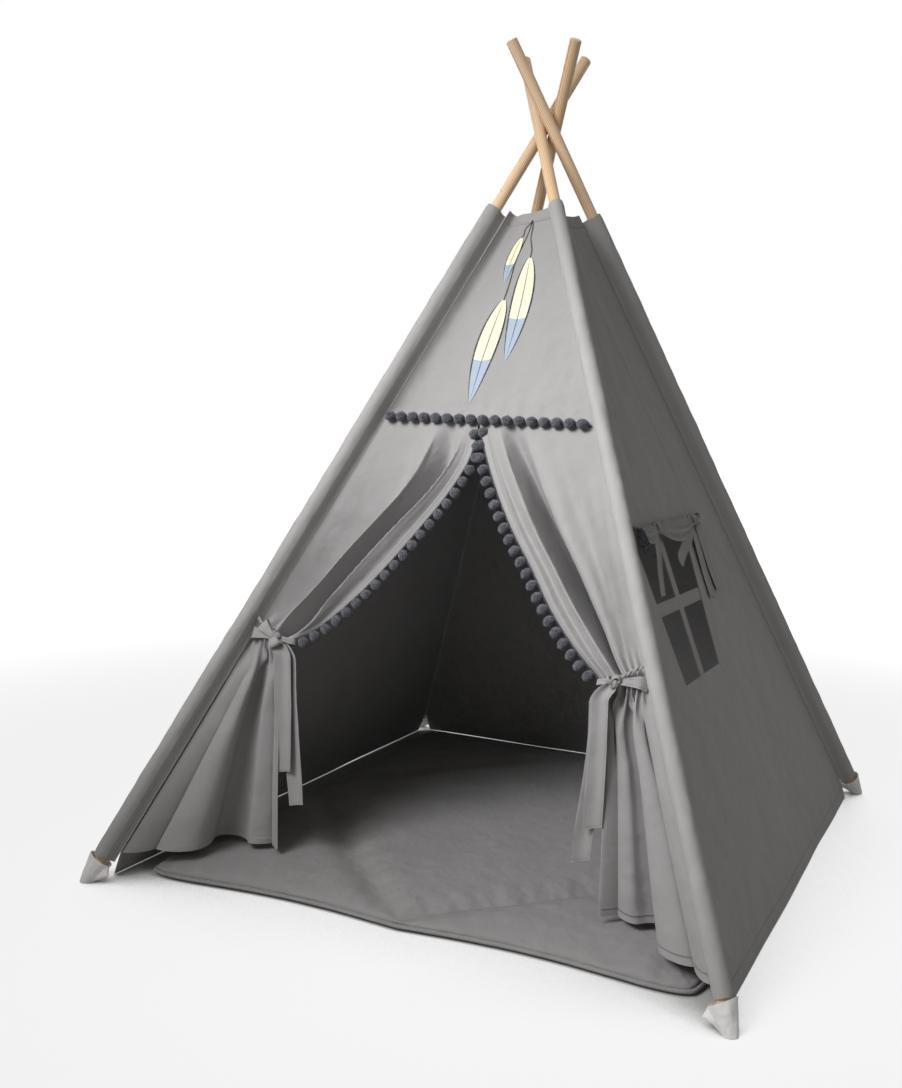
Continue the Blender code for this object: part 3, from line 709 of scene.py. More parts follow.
def ribbon(name, route, widths, faces_out, thickness=STRAP_CLOTH, arch=0.0):
    """A flat tie along a route. faces_out gives the way its face looks at each point."""
    stops = len(route)
    across = 6
    run = 0.0
    corners = []
    values = []
    for index, point in enumerate(route):
        run += (point - route[max(index - 1, 0)]).length
        width = widths[index]
        ahead = route[min(index + 1, stops - 1)] - route[max(index - 1, 0)]
        side = ahead.cross(faces_out[index].normalized()).normalized()
        look = side.cross(ahead).normalized()
        for step in range(across + 1):
            share = step / across - 0.5
            rise = arch * (0.25 - share * share) * width
            corners.append(point + side * (share * width) + look * rise)
            values.append((share * width, run, (0.5 - abs(share)) * width))
    item = new_mesh(name, corners, grid_faces(across, stops - 1, turned=True), "cloth", values)
    thicken(item, thickness)
    settle(item, name, RIBBON_CANVAS)
    smooth(item, 60)
    return item


# Poles and caps

POLE_ROUNDING = 0.0022
GRAIN_TURN = 1.3  # from one pole to the next, so that no two show the same grain
GRAIN_SHIFT = 0.9
CAP_FIN = 0.017
CAP_FIN_LEVEL = 0.58  # share of the cap's height where its fin is longest
CAP_FIN_NARROW = 0.20
CAP_FLATNESS = 0.94
CAP_WRINKLES = 0.0012
CAP_RIM_DIP = 0.003
CAP_LINING = ((0.0, 0.0018), (0.010, 0.0030), (0.020, 0.0055))  # down inside the rim, and inwards


def make_pole(corner):
    lean = math.sqrt(1.0 - pole_direction(corner).z ** 2)
    low_end = CAP_FLOOR + POLE_RADIUS * lean
    number = list(CORNERS).index(corner)
    deselect()
    bpy.ops.mesh.primitive_cylinder_add(vertices=40, radius=POLE_RADIUS, depth=POLE_LENGTH)
    pole = bpy.context.object
    rounding = pole.modifiers.new("rounded_ends", "BEVEL")
    rounding.width = POLE_ROUNDING
    rounding.segments = 4
    rounding.limit_method = "ANGLE"
    rounding.angle_limit = math.radians(60)
    apply_modifiers(pole)
    turn = Matrix.Rotation(GRAIN_TURN * number, 3, "Z")
    shift = Vector((0, 0, GRAIN_SHIFT * number))
    add_vectors(pole.data, "grain", [turn @ vertex.co + shift for vertex in pole.data.vertices])
    axes = Matrix(corner_axes(corner)).transposed().to_4x4()
    middle = low_end + pole_direction(corner).z * POLE_LENGTH / 2
    pole.matrix_world = Matrix.Translation(pole_point(corner, middle)) @ axes
    settle(pole, "wooden_pole_" + corner, PINE)
    smooth(pole)
    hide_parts("pole_" + corner)
    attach(pole, corner_body(corner))


def make_cap(corner):
    """A white boot of coated cloth, sewn with a pointed fin towards the middle of the tent's edge."""
    up_pole = pole_direction(corner)
    across = CORNERS[corner][0]
    fin_way = Vector((-across, 0, 0))
    fin_way = (fin_way - fin_way.dot(up_pole) * up_pole).normalized()
    fin_side = up_pole.cross(fin_way)
    sides = 96
    rings = 20
    corners = []
    for ring in range(rings + 1):
        spread = ring / rings
        radius = CAP_BOTTOM_RADIUS + (CAP_TOP_RADIUS - CAP_BOTTOM_RADIUS) * spread
        if spread < CAP_FIN_LEVEL:
            fin = CAP_FIN * ease(spread, -0.1, CAP_FIN_LEVEL)
        else:
            fin = CAP_FIN * (1.0 - (spread - CAP_FIN_LEVEL) / (1 - CAP_FIN_LEVEL))
        for side in range(sides):
            angle = 2 * math.pi * side / sides
            turned = min(angle, 2 * math.pi - angle)
            reach = radius + fin * math.exp(-((turned / CAP_FIN_NARROW) ** 2))
            ripple = softly((math.cos(angle) * 2, math.sin(angle) * 2, ring * 0.16), across + 3)
            reach += CAP_WRINKLES * ripple
            direction = fin_way * (math.cos(angle) * reach)
            direction += fin_side * (math.sin(angle) * reach * CAP_FLATNESS)
            base = pole_point(corner, 0.0) + direction
            foot = base - up_pole * (base.z / up_pole.z)
            rim_dip = CAP_RIM_DIP * (1.0 + math.cos(angle - 0.6))
            top = base + up_pole * (CAP_HEIGHT - rim_dip)
            corners.append(foot.lerp(top, spread))
    inner_top = len(corners)
    axis = pole_point(corner, 0.0) + up_pole * (CAP_HEIGHT - 0.002)
    for depth, inset in CAP_LINING:
        for rim in corners[rings * sides:inner_top]:
            inward = (axis - rim) - (axis - rim).dot(up_pole) * up_pole
            corners.append(rim + inward.normalized() * inset - up_pole * depth)
    faces = grid_faces(sides, rings + len(CAP_LINING), ring=True)
    faces.append(tuple(reversed(range(sides))))
    faces.append(tuple(range(inner_top + 2 * sides, inner_top + 3 * sides)))
    cap = new_mesh("cap", corners, faces)
    settle(cap, "foot_boot_" + corner, CAP_CLOTH)
    rework(cap, fix_normals)
    smooth(cap, 60)
    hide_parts("foot_cap_" + corner)
    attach(cap, corner_body(corner))


# Pole sleeves

SLEEVE_RADIUS = POLE_RADIUS + GAP + POCKET_CLOTH
SLEEVE_CREASES = 0.0009
SEAM_SHARE = -0.014  # nearer the tent's middle than this the sleeve is sewn flat


def sleeve_path():
    """Half the sleeve's section, from the seam round the outside of the pole: X outwards, Y aside."""
    half_seam = SEAM_THICKNESS / 2
    points = [(-POCKET_FLAP + 0.0004, half_seam)]
    points += [(-0.0185, half_seam + 0.0002), (-0.0155, half_seam + 0.0012)]
    for step in range(1, 15):
        angle = math.radians(122) * (1 - step / 14)
        reach = SLEEVE_RADIUS + POCKET_SLACK * max(0.0, math.cos(angle)) * 0.9
        points.append((reach * math.cos(angle), reach * math.sin(angle)))
    return points


def make_sleeve(corner):
    """The tube of cloth sewn along the corner, with the pole inside it."""
    outward, around, up_pole = corner_axes(corner)
    half = sleeve_path()
    path = half + [(x, -y) for x, y in reversed(half[:-1])]
    run = [0.0]
    for (x0, y0), (x1, y1) in zip(path, path[1:]):
        run.append(run[-1] + math.hypot(x1 - x0, y1 - y0))
    width = run[-1]
    low = up_pole.z * (CAP_HEIGHT + GAP)
    length = (COVER_TOP - low) / up_pole.z
    seed = list(CORNERS).index(corner) + 1
    levels = 150
    columns = len(path) - 1

    def place(u, v):
        x, y = path[round(u * columns)]
        height = low + (COVER_TOP - low) * v
        point = pole_point(corner, height)
        if x < SEAM_SHARE:
            return point + outward * x + around * (y - math.copysign(SLEEVE_CLOTH / 2, y))
        free = ease(x, -0.016, 0.004)
        crease = softly((x * 60, y * 60, height * 38), seed) * SLEEVE_CREASES
        crease += softly((x * 25, y * 25, height * 9), seed + 9) * SLEEVE_CREASES
        swell = 1.0 + free * crease / 0.014 - SLEEVE_CLOTH / 2 / SLEEVE_RADIUS
        ends = ease(v, 0.0, 0.004) * (1 - ease(v, 0.996, 1.0))
        swell *= 1.0 + free * 0.06 * (ends - 1.0)
        return point + outward * (x * swell) + around * (y * swell)

    def lay(u, v):
        place_round = run[round(u * columns)]
        return place_round, length * v, min(place_round, width - place_round)

    name = "pole_sleeve_" + corner
    made = sheet(name, columns, levels, place, SLEEVE_CANVAS, lay, SLEEVE_CLOTH)
    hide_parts("pole_pocket_" + corner)
    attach(made, corner_body(corner))


# Walls

def hem_height(wall, share):
    to_corner = min(share, 1.0 - share) * wall_width(wall, WALL_HEM)
    return WALL_HEM + (CORNER_HEM - WALL_HEM) * max(0.0, 1.0 - to_corner / CORNER_HEM_REACH)


def wall_top(share):
    return COVER_TOP - TOP_DIP * math.sin(math.pi * share)


WINDOW_WALL_SEED = 4
WALL_PULLS = 0.0030
WALL_CREASES = 0.0014
DRAWN_LINES = (  # ends along the wall and up it, depth and half width
    ((-0.015, 1.110), (0.132, 0.700), 0.0030, 0.0075),
    ((-0.090, 0.960), (-0.140, 0.700), -0.0022, 0.0090),
    ((0.020, 0.390), (0.220, 0.200), 0.0022, 0.0110),
    ((0.110, 1.020), (0.060, 0.880), -0.0020, 0.0100),
)


def drawn_lines(share, height):
    """Thin straight creases in the window's wall, drawn towards the cord's end and the sill."""
    along = wall_point("right", share, height).y
    rise = 0.0
    for (start_y, start_z), (end_y, end_z), depth, half_width in DRAWN_LINES:
        way = Vector((end_y - start_y, end_z - start_z))
        offset = Vector((along - start_y, height - start_z))
        at = offset.dot(way) / way.length_squared
        aside = (offset - way * at).length
        ends = ease(at, -0.1, 0.25) * (1 - ease(at, 0.9, 1.02))
        rise += depth * math.exp(-((aside / half_width) ** 2)) * ends
    return rise


def wall_creases(share, height, seed):
    """Soft pulls in the cloth, quiet where it is sewn to the sleeves."""
    edge = math.sin(math.pi * min(max(share, 0.0), 1.0)) ** 0.6
    pull = softly((share * 5, height * 2.2, 0), seed) * WALL_PULLS
    pull += softly((share * 9 + height * 4, height * 3, 0), seed + 5) * WALL_CREASES
    if seed == WINDOW_WALL_SEED:
        pull += drawn_lines(share, height)
    return pull * edge


def wall_lay(wall, share, height):
    slope = 1.0 / math.cos(WALL_TILT)
    to_top = (wall_top(share) - height) * slope
    to_hem = (height - hem_height(wall, share)) * slope
    return (share - 0.5) * wall_width(wall, height), height * slope, min(to_top, to_hem)


def declare_wall(wall, low):
    """Works out the area of the wall's flat cut, from a height up to the cover's top, and does nothing with
    it.
    """
    bottom = wall_width(wall, low)
    length = (COVER_TOP - low) / math.cos(WALL_TILT)
    area = (bottom + wall_width(wall, COVER_TOP)) / 2 * length


def make_plain_wall(wall, seed):
    cells = 90

    def spot(u, v):
        share = 0.5 - 0.5 * math.cos(math.pi * u)
        bottom = hem_height(wall, share)
        return share, bottom + v * (wall_top(share) - bottom)

    def place(u, v):
        share, height = spot(u, v)
        out = wall_sag(share, height) + wall_creases(share, height, seed)
        return wall_point(wall, share, height, out)

    def lay(u, v):
        return wall_lay(wall, *spot(u, v))

    made = sheet(wall + "_wall_cloth", cells, cells, place, COVER_CANVAS, lay)
    declare_wall(wall, WALL_HEM)
    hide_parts(wall + "_wall")
    return made


def window_edge(edge, height):
    share = (height - WINDOW_SILL) / (WINDOW_HEAD - WINDOW_SILL)
    return edge[0] + share * (edge[1] - edge[0])


def window_bar_middle(height):
    return (window_edge(WINDOW_FRONT, height) + window_edge(WINDOW_REAR, height)) / 2


# Cells of the window's wall below, beside and above its opening, and before, across and behind it
RIGHT_ROWS = (30, 24, 46)
RIGHT_COLUMNS = (30, 30, 40)
HEM_ROWS = 4


def right_spot(column, row):
    """A grid whose lines run along the window's edges."""
    low, middle, high = RIGHT_ROWS
    front, window, rear = RIGHT_COLUMNS

    def height_between(bottom, top):
        if row <= low:
            return bottom + (WINDOW_SILL - bottom) * (row / low)
        if row <= low + middle:
            return WINDOW_SILL + (WINDOW_HEAD - WINDOW_SILL) * (row - low) / middle
        return WINDOW_HEAD + (top - WINDOW_HEAD) * ((row - low - middle) / high)

    level = min(max(height_between(WALL_HEM, COVER_TOP), WINDOW_SILL), WINDOW_HEAD)
    start = wall_share("right", window_edge(WINDOW_FRONT, level), level, 1)
    end = wall_share("right", window_edge(WINDOW_REAR, level), level, 1)
    if column <= front and row < HEM_ROWS:
        share = start * (0.5 - 0.5 * math.cos(math.pi * column / front))
    elif column <= front:
        share = start * column / front
    elif column <= front + window:
        share = start + (end - start) * (column - front) / window
    else:
        share = end + (1 - end) * (column - front - window) / rear
    return share, height_between(hem_height("right", share), wall_top(share))


def make_window_wall():
    rows = sum(RIGHT_ROWS)
    columns = sum(RIGHT_COLUMNS)

    def spot(u, v):
        return right_spot(round(u * columns), round(v * rows))

    def place(u, v):
        share, height = spot(u, v)
        creases = wall_creases(share, height, WINDOW_WALL_SEED) * window_quiet(share, height)
        return wall_point("right", share, height, wall_sag(share, height) + creases)

    def lay(u, v):
        return wall_lay("right", *spot(u, v))

    def keep(column, row):
        beside = 0 <= column - RIGHT_COLUMNS[0] < RIGHT_COLUMNS[1]
        return not (beside and 0 <= row - RIGHT_ROWS[0] < RIGHT_ROWS[1])

    made = sheet("right_wall_cloth", columns, rows, place, COVER_CANVAS, lay, keep=keep)
    declare_wall("right", WALL_HEM)
    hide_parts("right_wall")
    bend_with_side(made)


def window_quiet(share, height):
    """0 on the window and its cord, 1 well away from them."""
    along = wall_point("right", share, height).y
    level = min(max(height, WINDOW_SILL), WINDOW_CORD_HEIGHT)
    before = window_edge(WINDOW_FRONT, level) - 0.02 - along
    behind = along - max(window_edge(WINDOW_REAR, level), 0.14)
    above = max(WINDOW_SILL - height, height - WINDOW_CORD_HEIGHT - 0.015, 0.0)
    return ease(math.hypot(max(before, behind, 0.0), above), 0.0, 0.08)


# Window

WINDOW_CORD_OUT = CLOTH / 2 + GAP + WINDOW_BUTTON_RADIUS  # of the cord's middle from the wall's
WINDOW_CORD_DROOP = 0.004
HANK_LOOPS = 9
HANK_MIDDLE = (-0.243, 0.6575)
HANK_YARN_RADIUS = 0.0019
HANK_PITCH = 0.0027  # from one loop to the next, along the wall
HANK_OUT = 0.0105
HANK_WIDTH = 0.0068  # of the narrowest loop, to either side
HANK_DROP = 0.0155  # of the shortest loop, up and down
SWAG_TABS = 19
SWAG_GATHERS = 44
SWAG_GATHER_DEPTH = 0.0007
SWAG_FOLDS = 2.3
SWAG_FOLD_DEPTH = 0.0022
SWAG_BUNCH_DEPTH = 0.0018
WRAP_OUT = 0.0074
WRAP_UP = 0.0115
SWAG_FLAT = (0.50, 0.040)


def make_window_bars():
    """The cross of two hemmed strips, sewn on behind the opening."""
    out = -CLOTH - GAP - CLOTH * 0.1
    middle = (WINDOW_SILL + WINDOW_HEAD) / 2
    half = WINDOW_BAR / 2
    half_rise = half * math.cos(WALL_TILT)
    low = WINDOW_SILL - WINDOW_BAR_OVERLAP
    high = WINDOW_HEAD + WINDOW_BAR_OVERLAP
    beside = 14
    within = 4

    def barred(start, bar_start, bar_end, end):
        """Places along a line, with finer ones where a bar crosses it."""
        bar = evenly(bar_start, bar_end, within)[1:-1]
        return evenly(start, bar_start, beside) + bar + evenly(bar_end, end, beside)

    heights = barred(low, middle - half_rise, middle + half_rise, high)
    cells = len(heights) - 1

    def spot(u, v):
        height = heights[round(v * cells)]
        front = window_edge(WINDOW_FRONT, height) - WINDOW_BAR_OVERLAP
        rear = window_edge(WINDOW_REAR, height) + WINDOW_BAR_OVERLAP
        centre = window_bar_middle(height)
        return barred(front, centre - half, centre + half, rear)[round(u * cells)], height

    def place(u, v):
        along, height = spot(u, v)
        return right_point(along, height, out)

    def lay(u, v):
        along, height = spot(u, v)
        from_upright = half - abs(along - window_bar_middle(height))
        from_level = half - abs(height - middle) / math.cos(WALL_TILT)
        return along, height, max(from_upright, from_level)

    def keep(column, row):
        return 0 <= column - beside < within or 0 <= row - beside < within

    made = sheet("window_bars", cells, cells, place, RIBBON_CANVAS, lay, keep=keep)
    width = (sum(WINDOW_REAR) - sum(WINDOW_FRONT)) / 2 + 2 * WINDOW_BAR_OVERLAP
    area = WINDOW_BAR * (width + (high - low) / math.cos(WALL_TILT) - WINDOW_BAR)
    flat = (round(width, 3), round(area / width, 4))
    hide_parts("window_cross")
    bend_with_side(made)


def twisted_cord(name, route, radius, turn_length=0.012, finish=WOOL):
    """Two yarns twisted together along a route."""
    around = 8
    fine = []
    for start, end in zip(route, route[1:]):
        steps = max(1, round((end - start).length / 0.0016))
        fine += [start.lerp(end, step / steps) for step in range(steps)]
    fine.append(route[-1])
    last = len(fine) - 1
    corners = []
    faces = []
    for yarn in range(2):
        first = len(corners)
        run = 0.0
        for index, point in enumerate(fine):
            run += (point - fine[max(index - 1, 0)]).length
            ahead = (fine[min(index + 1, last)] - fine[max(index - 1, 0)]).normalized()
            side = ahead.cross(Vector((0.3, 0.2, 1.0))).normalized()
            up = side.cross(ahead).normalized()
            turn = 2 * math.pi * run / turn_length + math.pi * yarn
            centre = point + (side * math.cos(turn) + up * math.sin(turn)) * radius * 0.5
            corners += circle(centre, side, up, radius * 0.55, around)
        faces += grid_faces(around, last, first, ring=True)
        faces.append(tuple(reversed(range(first, first + around))))
        faces.append(tuple(range(first + last * around, first + (last + 1) * around)))
    cord = new_mesh(name, corners, faces)
    settle(cord, name, finish)
    smooth(cord, 60)
    return cord


def pom_row(name, centres, radius, ways, cord):
    """Slightly uneven balls of yarn in a row, in one piece with the cord that holds them."""
    work = bmesh.new()
    for index, (centre, way) in enumerate(zip(centres, ways)):
        turn = way.to_track_quat("Z", "X").to_matrix().to_4x4()
        seat = Matrix.Translation(centre) @ turn @ Matrix.Diagonal((0.97, 0.97, 1.08, 1.0))
        for vertex in bmesh.ops.create_uvsphere(work, u_segments=18, v_segments=12, radius=radius)["verts"]:
            out = vertex.co.normalized()
            tuft = softly(out, index + 1, 3.2) * 0.10 + softly(out, index + 4, 7.0) * 0.05
            vertex.co = seat @ (out * radius * (0.97 + tuft))
    poms = new_mesh(name, [], [])
    work.to_mesh(poms.data)
    work.free()
    join(poms, [cord])
    settle(poms, name, WOOL)
    smooth(poms, 80)
    return poms


def cord_hank():
    """The cord's spare length, wound in loops and hung over its front end."""
    loops = []
    for index in range(HANK_LOOPS):
        lean = (index - HANK_LOOPS // 2) * HANK_PITCH
        out = WINDOW_CORD_OUT + HANK_OUT + 0.0016 * (index % 3)
        middle = right_point(HANK_MIDDLE[0] + lean * 1.1, HANK_MIDDLE[1] - 0.0012 * (index % 4), out)
        wide = HANK_WIDTH + 0.0010 * (index % 3)
        tall = HANK_DROP + 0.0014 * ((index * 5) % 4)
        route = []
        for turn in evenly(0.0, 2 * math.pi, 24):
            pinch = 0.6 + 0.4 * math.cos(turn) ** 2
            along = wide * math.sin(turn) * pinch + lean * math.cos(turn) * -0.5
            route.append(middle + Vector((0, along, 0)) + WALL_UP * (tall * math.cos(turn)))
        loops.append(twisted_cord("loop", route, HANK_YARN_RADIUS))
    return loops


def make_window_cord():
    start, end = WINDOW_CORD_ENDS
    route = []
    for share in evenly(0.0, 1.0, 16):
        height = WINDOW_CORD_HEIGHT - WINDOW_CORD_DROOP * 4 * share * (1 - share)
        route.append(right_point(start + (end - start) * share, height, WINDOW_CORD_OUT))
    cord = twisted_cord("cord", route, WINDOW_CORD_RADIUS)
    join(cord, cord_hank())
    ways = [Vector((0, 1, 0))] * 2
    made = pom_row("window_cord_and_buttons", [route[0], route[-1]], WINDOW_BUTTON_RADIUS, ways, cord)
    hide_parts("window_cord")
    bend_with_side(made)


def swag_hang(along):
    """0 at a tie of the swag and 1 midway between two, and the dip there."""
    for start, end, dip in zip(SWAG_TIES, SWAG_TIES[1:], SWAG_DIPS):
        if along <= end:
            return math.sin(math.pi * max(0.0, along - start) / (end - start)), dip
    return 0.0, SWAG_DIPS[-1]


def make_swag():
    """A strip of cloth gathered on the cord, which sags between its ties in long folds."""
    columns, rows = 240, 28
    cord_foot = WINDOW_CORD_HEIGHT - (WINDOW_CORD_RADIUS + GAP) * math.cos(WALL_TILT)

    def place(u, v):
        along = SWAG_TIES[0] + (SWAG_TIES[-1] - SWAG_TIES[0]) * u
        fall = 1.0 - v
        hang, dip = swag_hang(along)
        foot = cord_foot - SWAG_TIED_DROP - (dip - SWAG_TIED_DROP) * hang
        tabs = 0.5 + 0.5 * math.cos(2 * math.pi * SWAG_TABS * u + 2 * softly((u * 9, 0, 0), 61))
        top = WINDOW_CORD_HEIGHT - 0.0025 + 0.0055 * tabs
        shift = 3 * softly((u * 14, fall, 0), 62)
        gathers = SWAG_GATHER_DEPTH * (1.0 + math.sin(2 * math.pi * SWAG_GATHERS * u + shift))
        wander = 2 * softly((u * 5, 0, 1), 63)
        turns = 2 * math.pi * SWAG_FOLDS * fall ** 1.2
        folds = SWAG_FOLD_DEPTH * hang * (1.0 + math.sin(turns + wander))
        bunch = SWAG_BUNCH_DEPTH * (1.0 - hang) * (1.0 + math.sin(2 * math.pi * 3.0 * fall))
        shape = gathers * (1.0 - 0.5 * fall) + folds * ease(fall, 0.1, 0.35) + bunch
        return right_point(along, top + (foot - top) * fall, WINDOW_CORD_OUT + 0.0032 + shape)

    def lay(u, v):
        width, length = SWAG_FLAT
        return u * width, v * length, min(v * length, u * width, (1 - u) * width)

    made = sheet("window_swag_cloth", columns, rows, place, SWAG_CANVAS, lay, RIBBON_CLOTH)
    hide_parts("window_swag")
    bend_with_side(made)


def tie_wrap(along):
    """The turn of a ribbon round the cord and the gathered swag."""
    middle = right_point(along, WINDOW_CORD_HEIGHT - 0.0062, WINDOW_CORD_OUT + 0.0022)
    turns = evenly(0.0, 2 * math.pi, 32)
    outward = wall_normal("right")
    ways = [outward * (WRAP_OUT * math.cos(turn)) + WALL_UP * (WRAP_UP * math.sin(turn)) for turn in turns]
    widths = [0.0085 + 0.0015 * math.sin(turn * 2) for turn in turns]
    return ribbon("wrap", [middle + way for way in ways], widths, ways, 0.0010)


def make_ribbon_end(name, top, foot, wrapped=False):
    """A ribbon end that hangs from behind the swag, between two places along the wall and up it."""
    seed = 70 + len(name)
    length = math.hypot(foot[0] - top[0], (foot[1] - top[1]) / math.cos(WALL_TILT))
    steep = abs(foot[1] - top[1]) > abs(foot[0] - top[0])

    def place(u, v):
        fall = 1.0 - v
        width = RIBBON_WIDTH * (0.55 + 0.45 * ease(fall, 0.0, 0.25))
        beside = (u - 0.5) * width
        along = top[0] + (foot[0] - top[0]) * fall + (beside if steep else 0.0)
        height = top[1] + (foot[1] - top[1]) * fall + (0.0 if steep else beside)
        height += 0.004 * softly((u * 3, 0, 0), seed) * fall
        curl = 0.0011 * math.cos(2 * math.pi * u) + 0.0012 * math.sin(3.5 * fall + seed) * (u - 0.5)
        curl += 0.0012 * softly((u * 2, fall * 4, 0), seed)
        out = WINDOW_CORD_OUT - 0.0005 - 0.0030 * ease(fall, 0.1, 0.9) + curl * ease(fall, 0.05, 0.4)
        return right_point(along, height, out)

    def lay(u, v):
        return v * length, u * RIBBON_WIDTH, min(u, 1 - u) * RIBBON_WIDTH

    made = sheet(name + "_end", 12, 44, place, RIBBON_CANVAS, lay, RIBBON_CLOTH)
    if wrapped:
        join(made, [tie_wrap(top[0])])
    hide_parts(name)
    bend_with_side(made)


def make_window_ribbons():
    make_ribbon_end("window_ribbon_front", (-0.125, 0.666), (-0.197, 0.560), wrapped=True)
    make_ribbon_end("window_ribbon_rear_short", (0.084, 0.656), (-0.040, 0.606))
    make_ribbon_end("window_ribbon_rear_inner", (0.087, 0.666), (0.072, 0.525), wrapped=True)
    make_ribbon_end("window_ribbon_rear_outer", (0.114, 0.668), (0.124, 0.534))


# Front panel and its print

FRONT_NORMAL = wall_normal("front")
FRONT_UP = FRONT_NORMAL.cross(Vector((1, 0, 0)))
PANEL_HOLLOW = 0.016  # how deep the panel sinks beside its left sleeve
PANEL_HOLLOW_SHARE = 0.10
PRINT_GAP = 0.0004
STRING_WIDTH = 0.0024
LEAVES = (  # base and tip across the panel and up it, half width, bow, and where its string starts
    ("left", (-0.024, 1.072), (-0.050, 0.885), 0.0250, -0.004, 1.218),
    ("right", (0.014, 1.150), (0.006, 0.960), 0.0225, 0.004, 1.222),
    ("upper", (-0.014, 1.190), (-0.032, 1.105), 0.0130, -0.004, 1.222),
)


def front_pull(across, height):
    """Short creases that rise from the trim, and the slack between the poles."""
    share = wall_share("front", across, height, 0)
    above = (height - TRIM_HEIGHT) / (COVER_TOP - TRIM_HEIGHT)
    pleats = 0.0016 * math.sin(across * 165 + 2 * softly((across * 14, 0, 0), 3)) * math.exp(-above * 8)
    edge = math.sin(math.pi * min(max(share, 0), 1)) ** 0.5
    in_hollow = max(share, 0.0) / PANEL_HOLLOW_SHARE
    hollow = PANEL_HOLLOW * in_hollow * math.exp(1.0 - in_hollow)
    return (pleats + wall_creases(share, height, 11) * 0.6) * edge - hollow * ease(1.0 - share, 0.0, 0.3)


def make_front_panel():
    columns, rows = 90, 70
    bottom = TRIM_HEIGHT + GAP

    def place(u, v):
        height = bottom + v * (wall_top(u) - bottom)
        across = wall_point("front", u, height).x
        return wall_point("front", u, height, front_pull(across, height) * ease(v, 0.0, 0.05))

    def lay(u, v):
        height = bottom + v * (wall_top(u) - bottom)
        slope = 1.0 / math.cos(WALL_TILT)
        return (u - 0.5) * wall_width("front", height), height * slope, (wall_top(u) - height) * slope

    made = sheet("front_panel_cloth", columns, rows, place, COVER_CANVAS, lay)
    declare_wall("front", TRIM_HEIGHT)
    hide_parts("front_panel")
    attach(made, "front_frame")


def print_point(across, height):
    """A place on the face of the front panel."""
    rise = ease((height - TRIM_HEIGHT) / (COVER_TOP - TRIM_HEIGHT), 0.0, 0.05)
    return front_point(across, height, CLOTH / 2 + PRINT_GAP + front_pull(across, height) * rise)


def finish_print(item, name, finish):
    settle(item, name, finish)
    total = Vector((0, 0, 0))
    for face in item.data.polygons:
        total += face.normal * face.area
    if total.dot(FRONT_NORMAL) < 0:
        item.data.flip_normals()
    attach(item, "front_frame")


def print_leaf(name, base, tip, half_width, bow, finish):
    """One printed leaf, lying on the panel between two places across and up it."""
    steps, across = 30, 8
    corners, lays, weaves = [], [], []
    for step in range(steps + 1):
        along = step / steps
        middle_x = base[0] + (tip[0] - base[0]) * along + bow * math.sin(math.pi * along)
        middle_z = base[1] + (tip[1] - base[1]) * along
        width = half_width * math.sin(math.pi * min(max(along * 0.98 + 0.01, 0), 1) ** 0.8) ** 0.75
        for column in range(across + 1):
            aside = 2 * column / across - 1
            x = middle_x + width * aside
            z = middle_z + width * abs(aside) * 0.15
            corners.append(print_point(x, z))
            lays.append((aside, along, 0.0))
            weaves.append((x, z / math.cos(WALL_TILT), 0.0))
    leaf = new_mesh(name, corners, grid_faces(across, steps, turned=True), "cloth", lays)
    add_vectors(leaf.data, "weave", weaves)
    finish_print(leaf, name, finish)
    smooth(leaf, 60)


def print_string(name, route, finish):
    corners = []
    for index, (x, z) in enumerate(route):
        before, after = route[max(index - 1, 0)], route[min(index + 1, len(route) - 1)]
        way = Vector((after[0] - before[0], after[1] - before[1])).normalized()
        for aside in (-STRING_WIDTH / 2, STRING_WIDTH / 2):
            corners.append(print_point(x - way.y * aside, z + way.x * aside))
    string = new_mesh(name, corners, grid_faces(1, len(route) - 1))
    finish_print(string, name, finish)


def make_print():
    """A generic print: three leaves hung on thin strings from the cover's top."""
    leaf_finish = leaf_print("print_leaf", 0.60)
    ink = print_ink()
    for word, base, tip, half_width, bow, hang in LEAVES:
        print_leaf("print_leaf_" + word, base, tip, half_width, bow, leaf_finish)
        route = []
        for share in evenly(0.0, 1.0, 18):
            x = base[0] + (0.002 - base[0]) * share ** 1.4 + 0.002 * math.sin(share * 9)
            route.append((x, base[1] + (hang - base[1]) * share))
        print_string("print_string_" + word, route, ink)


# Doorway curtains

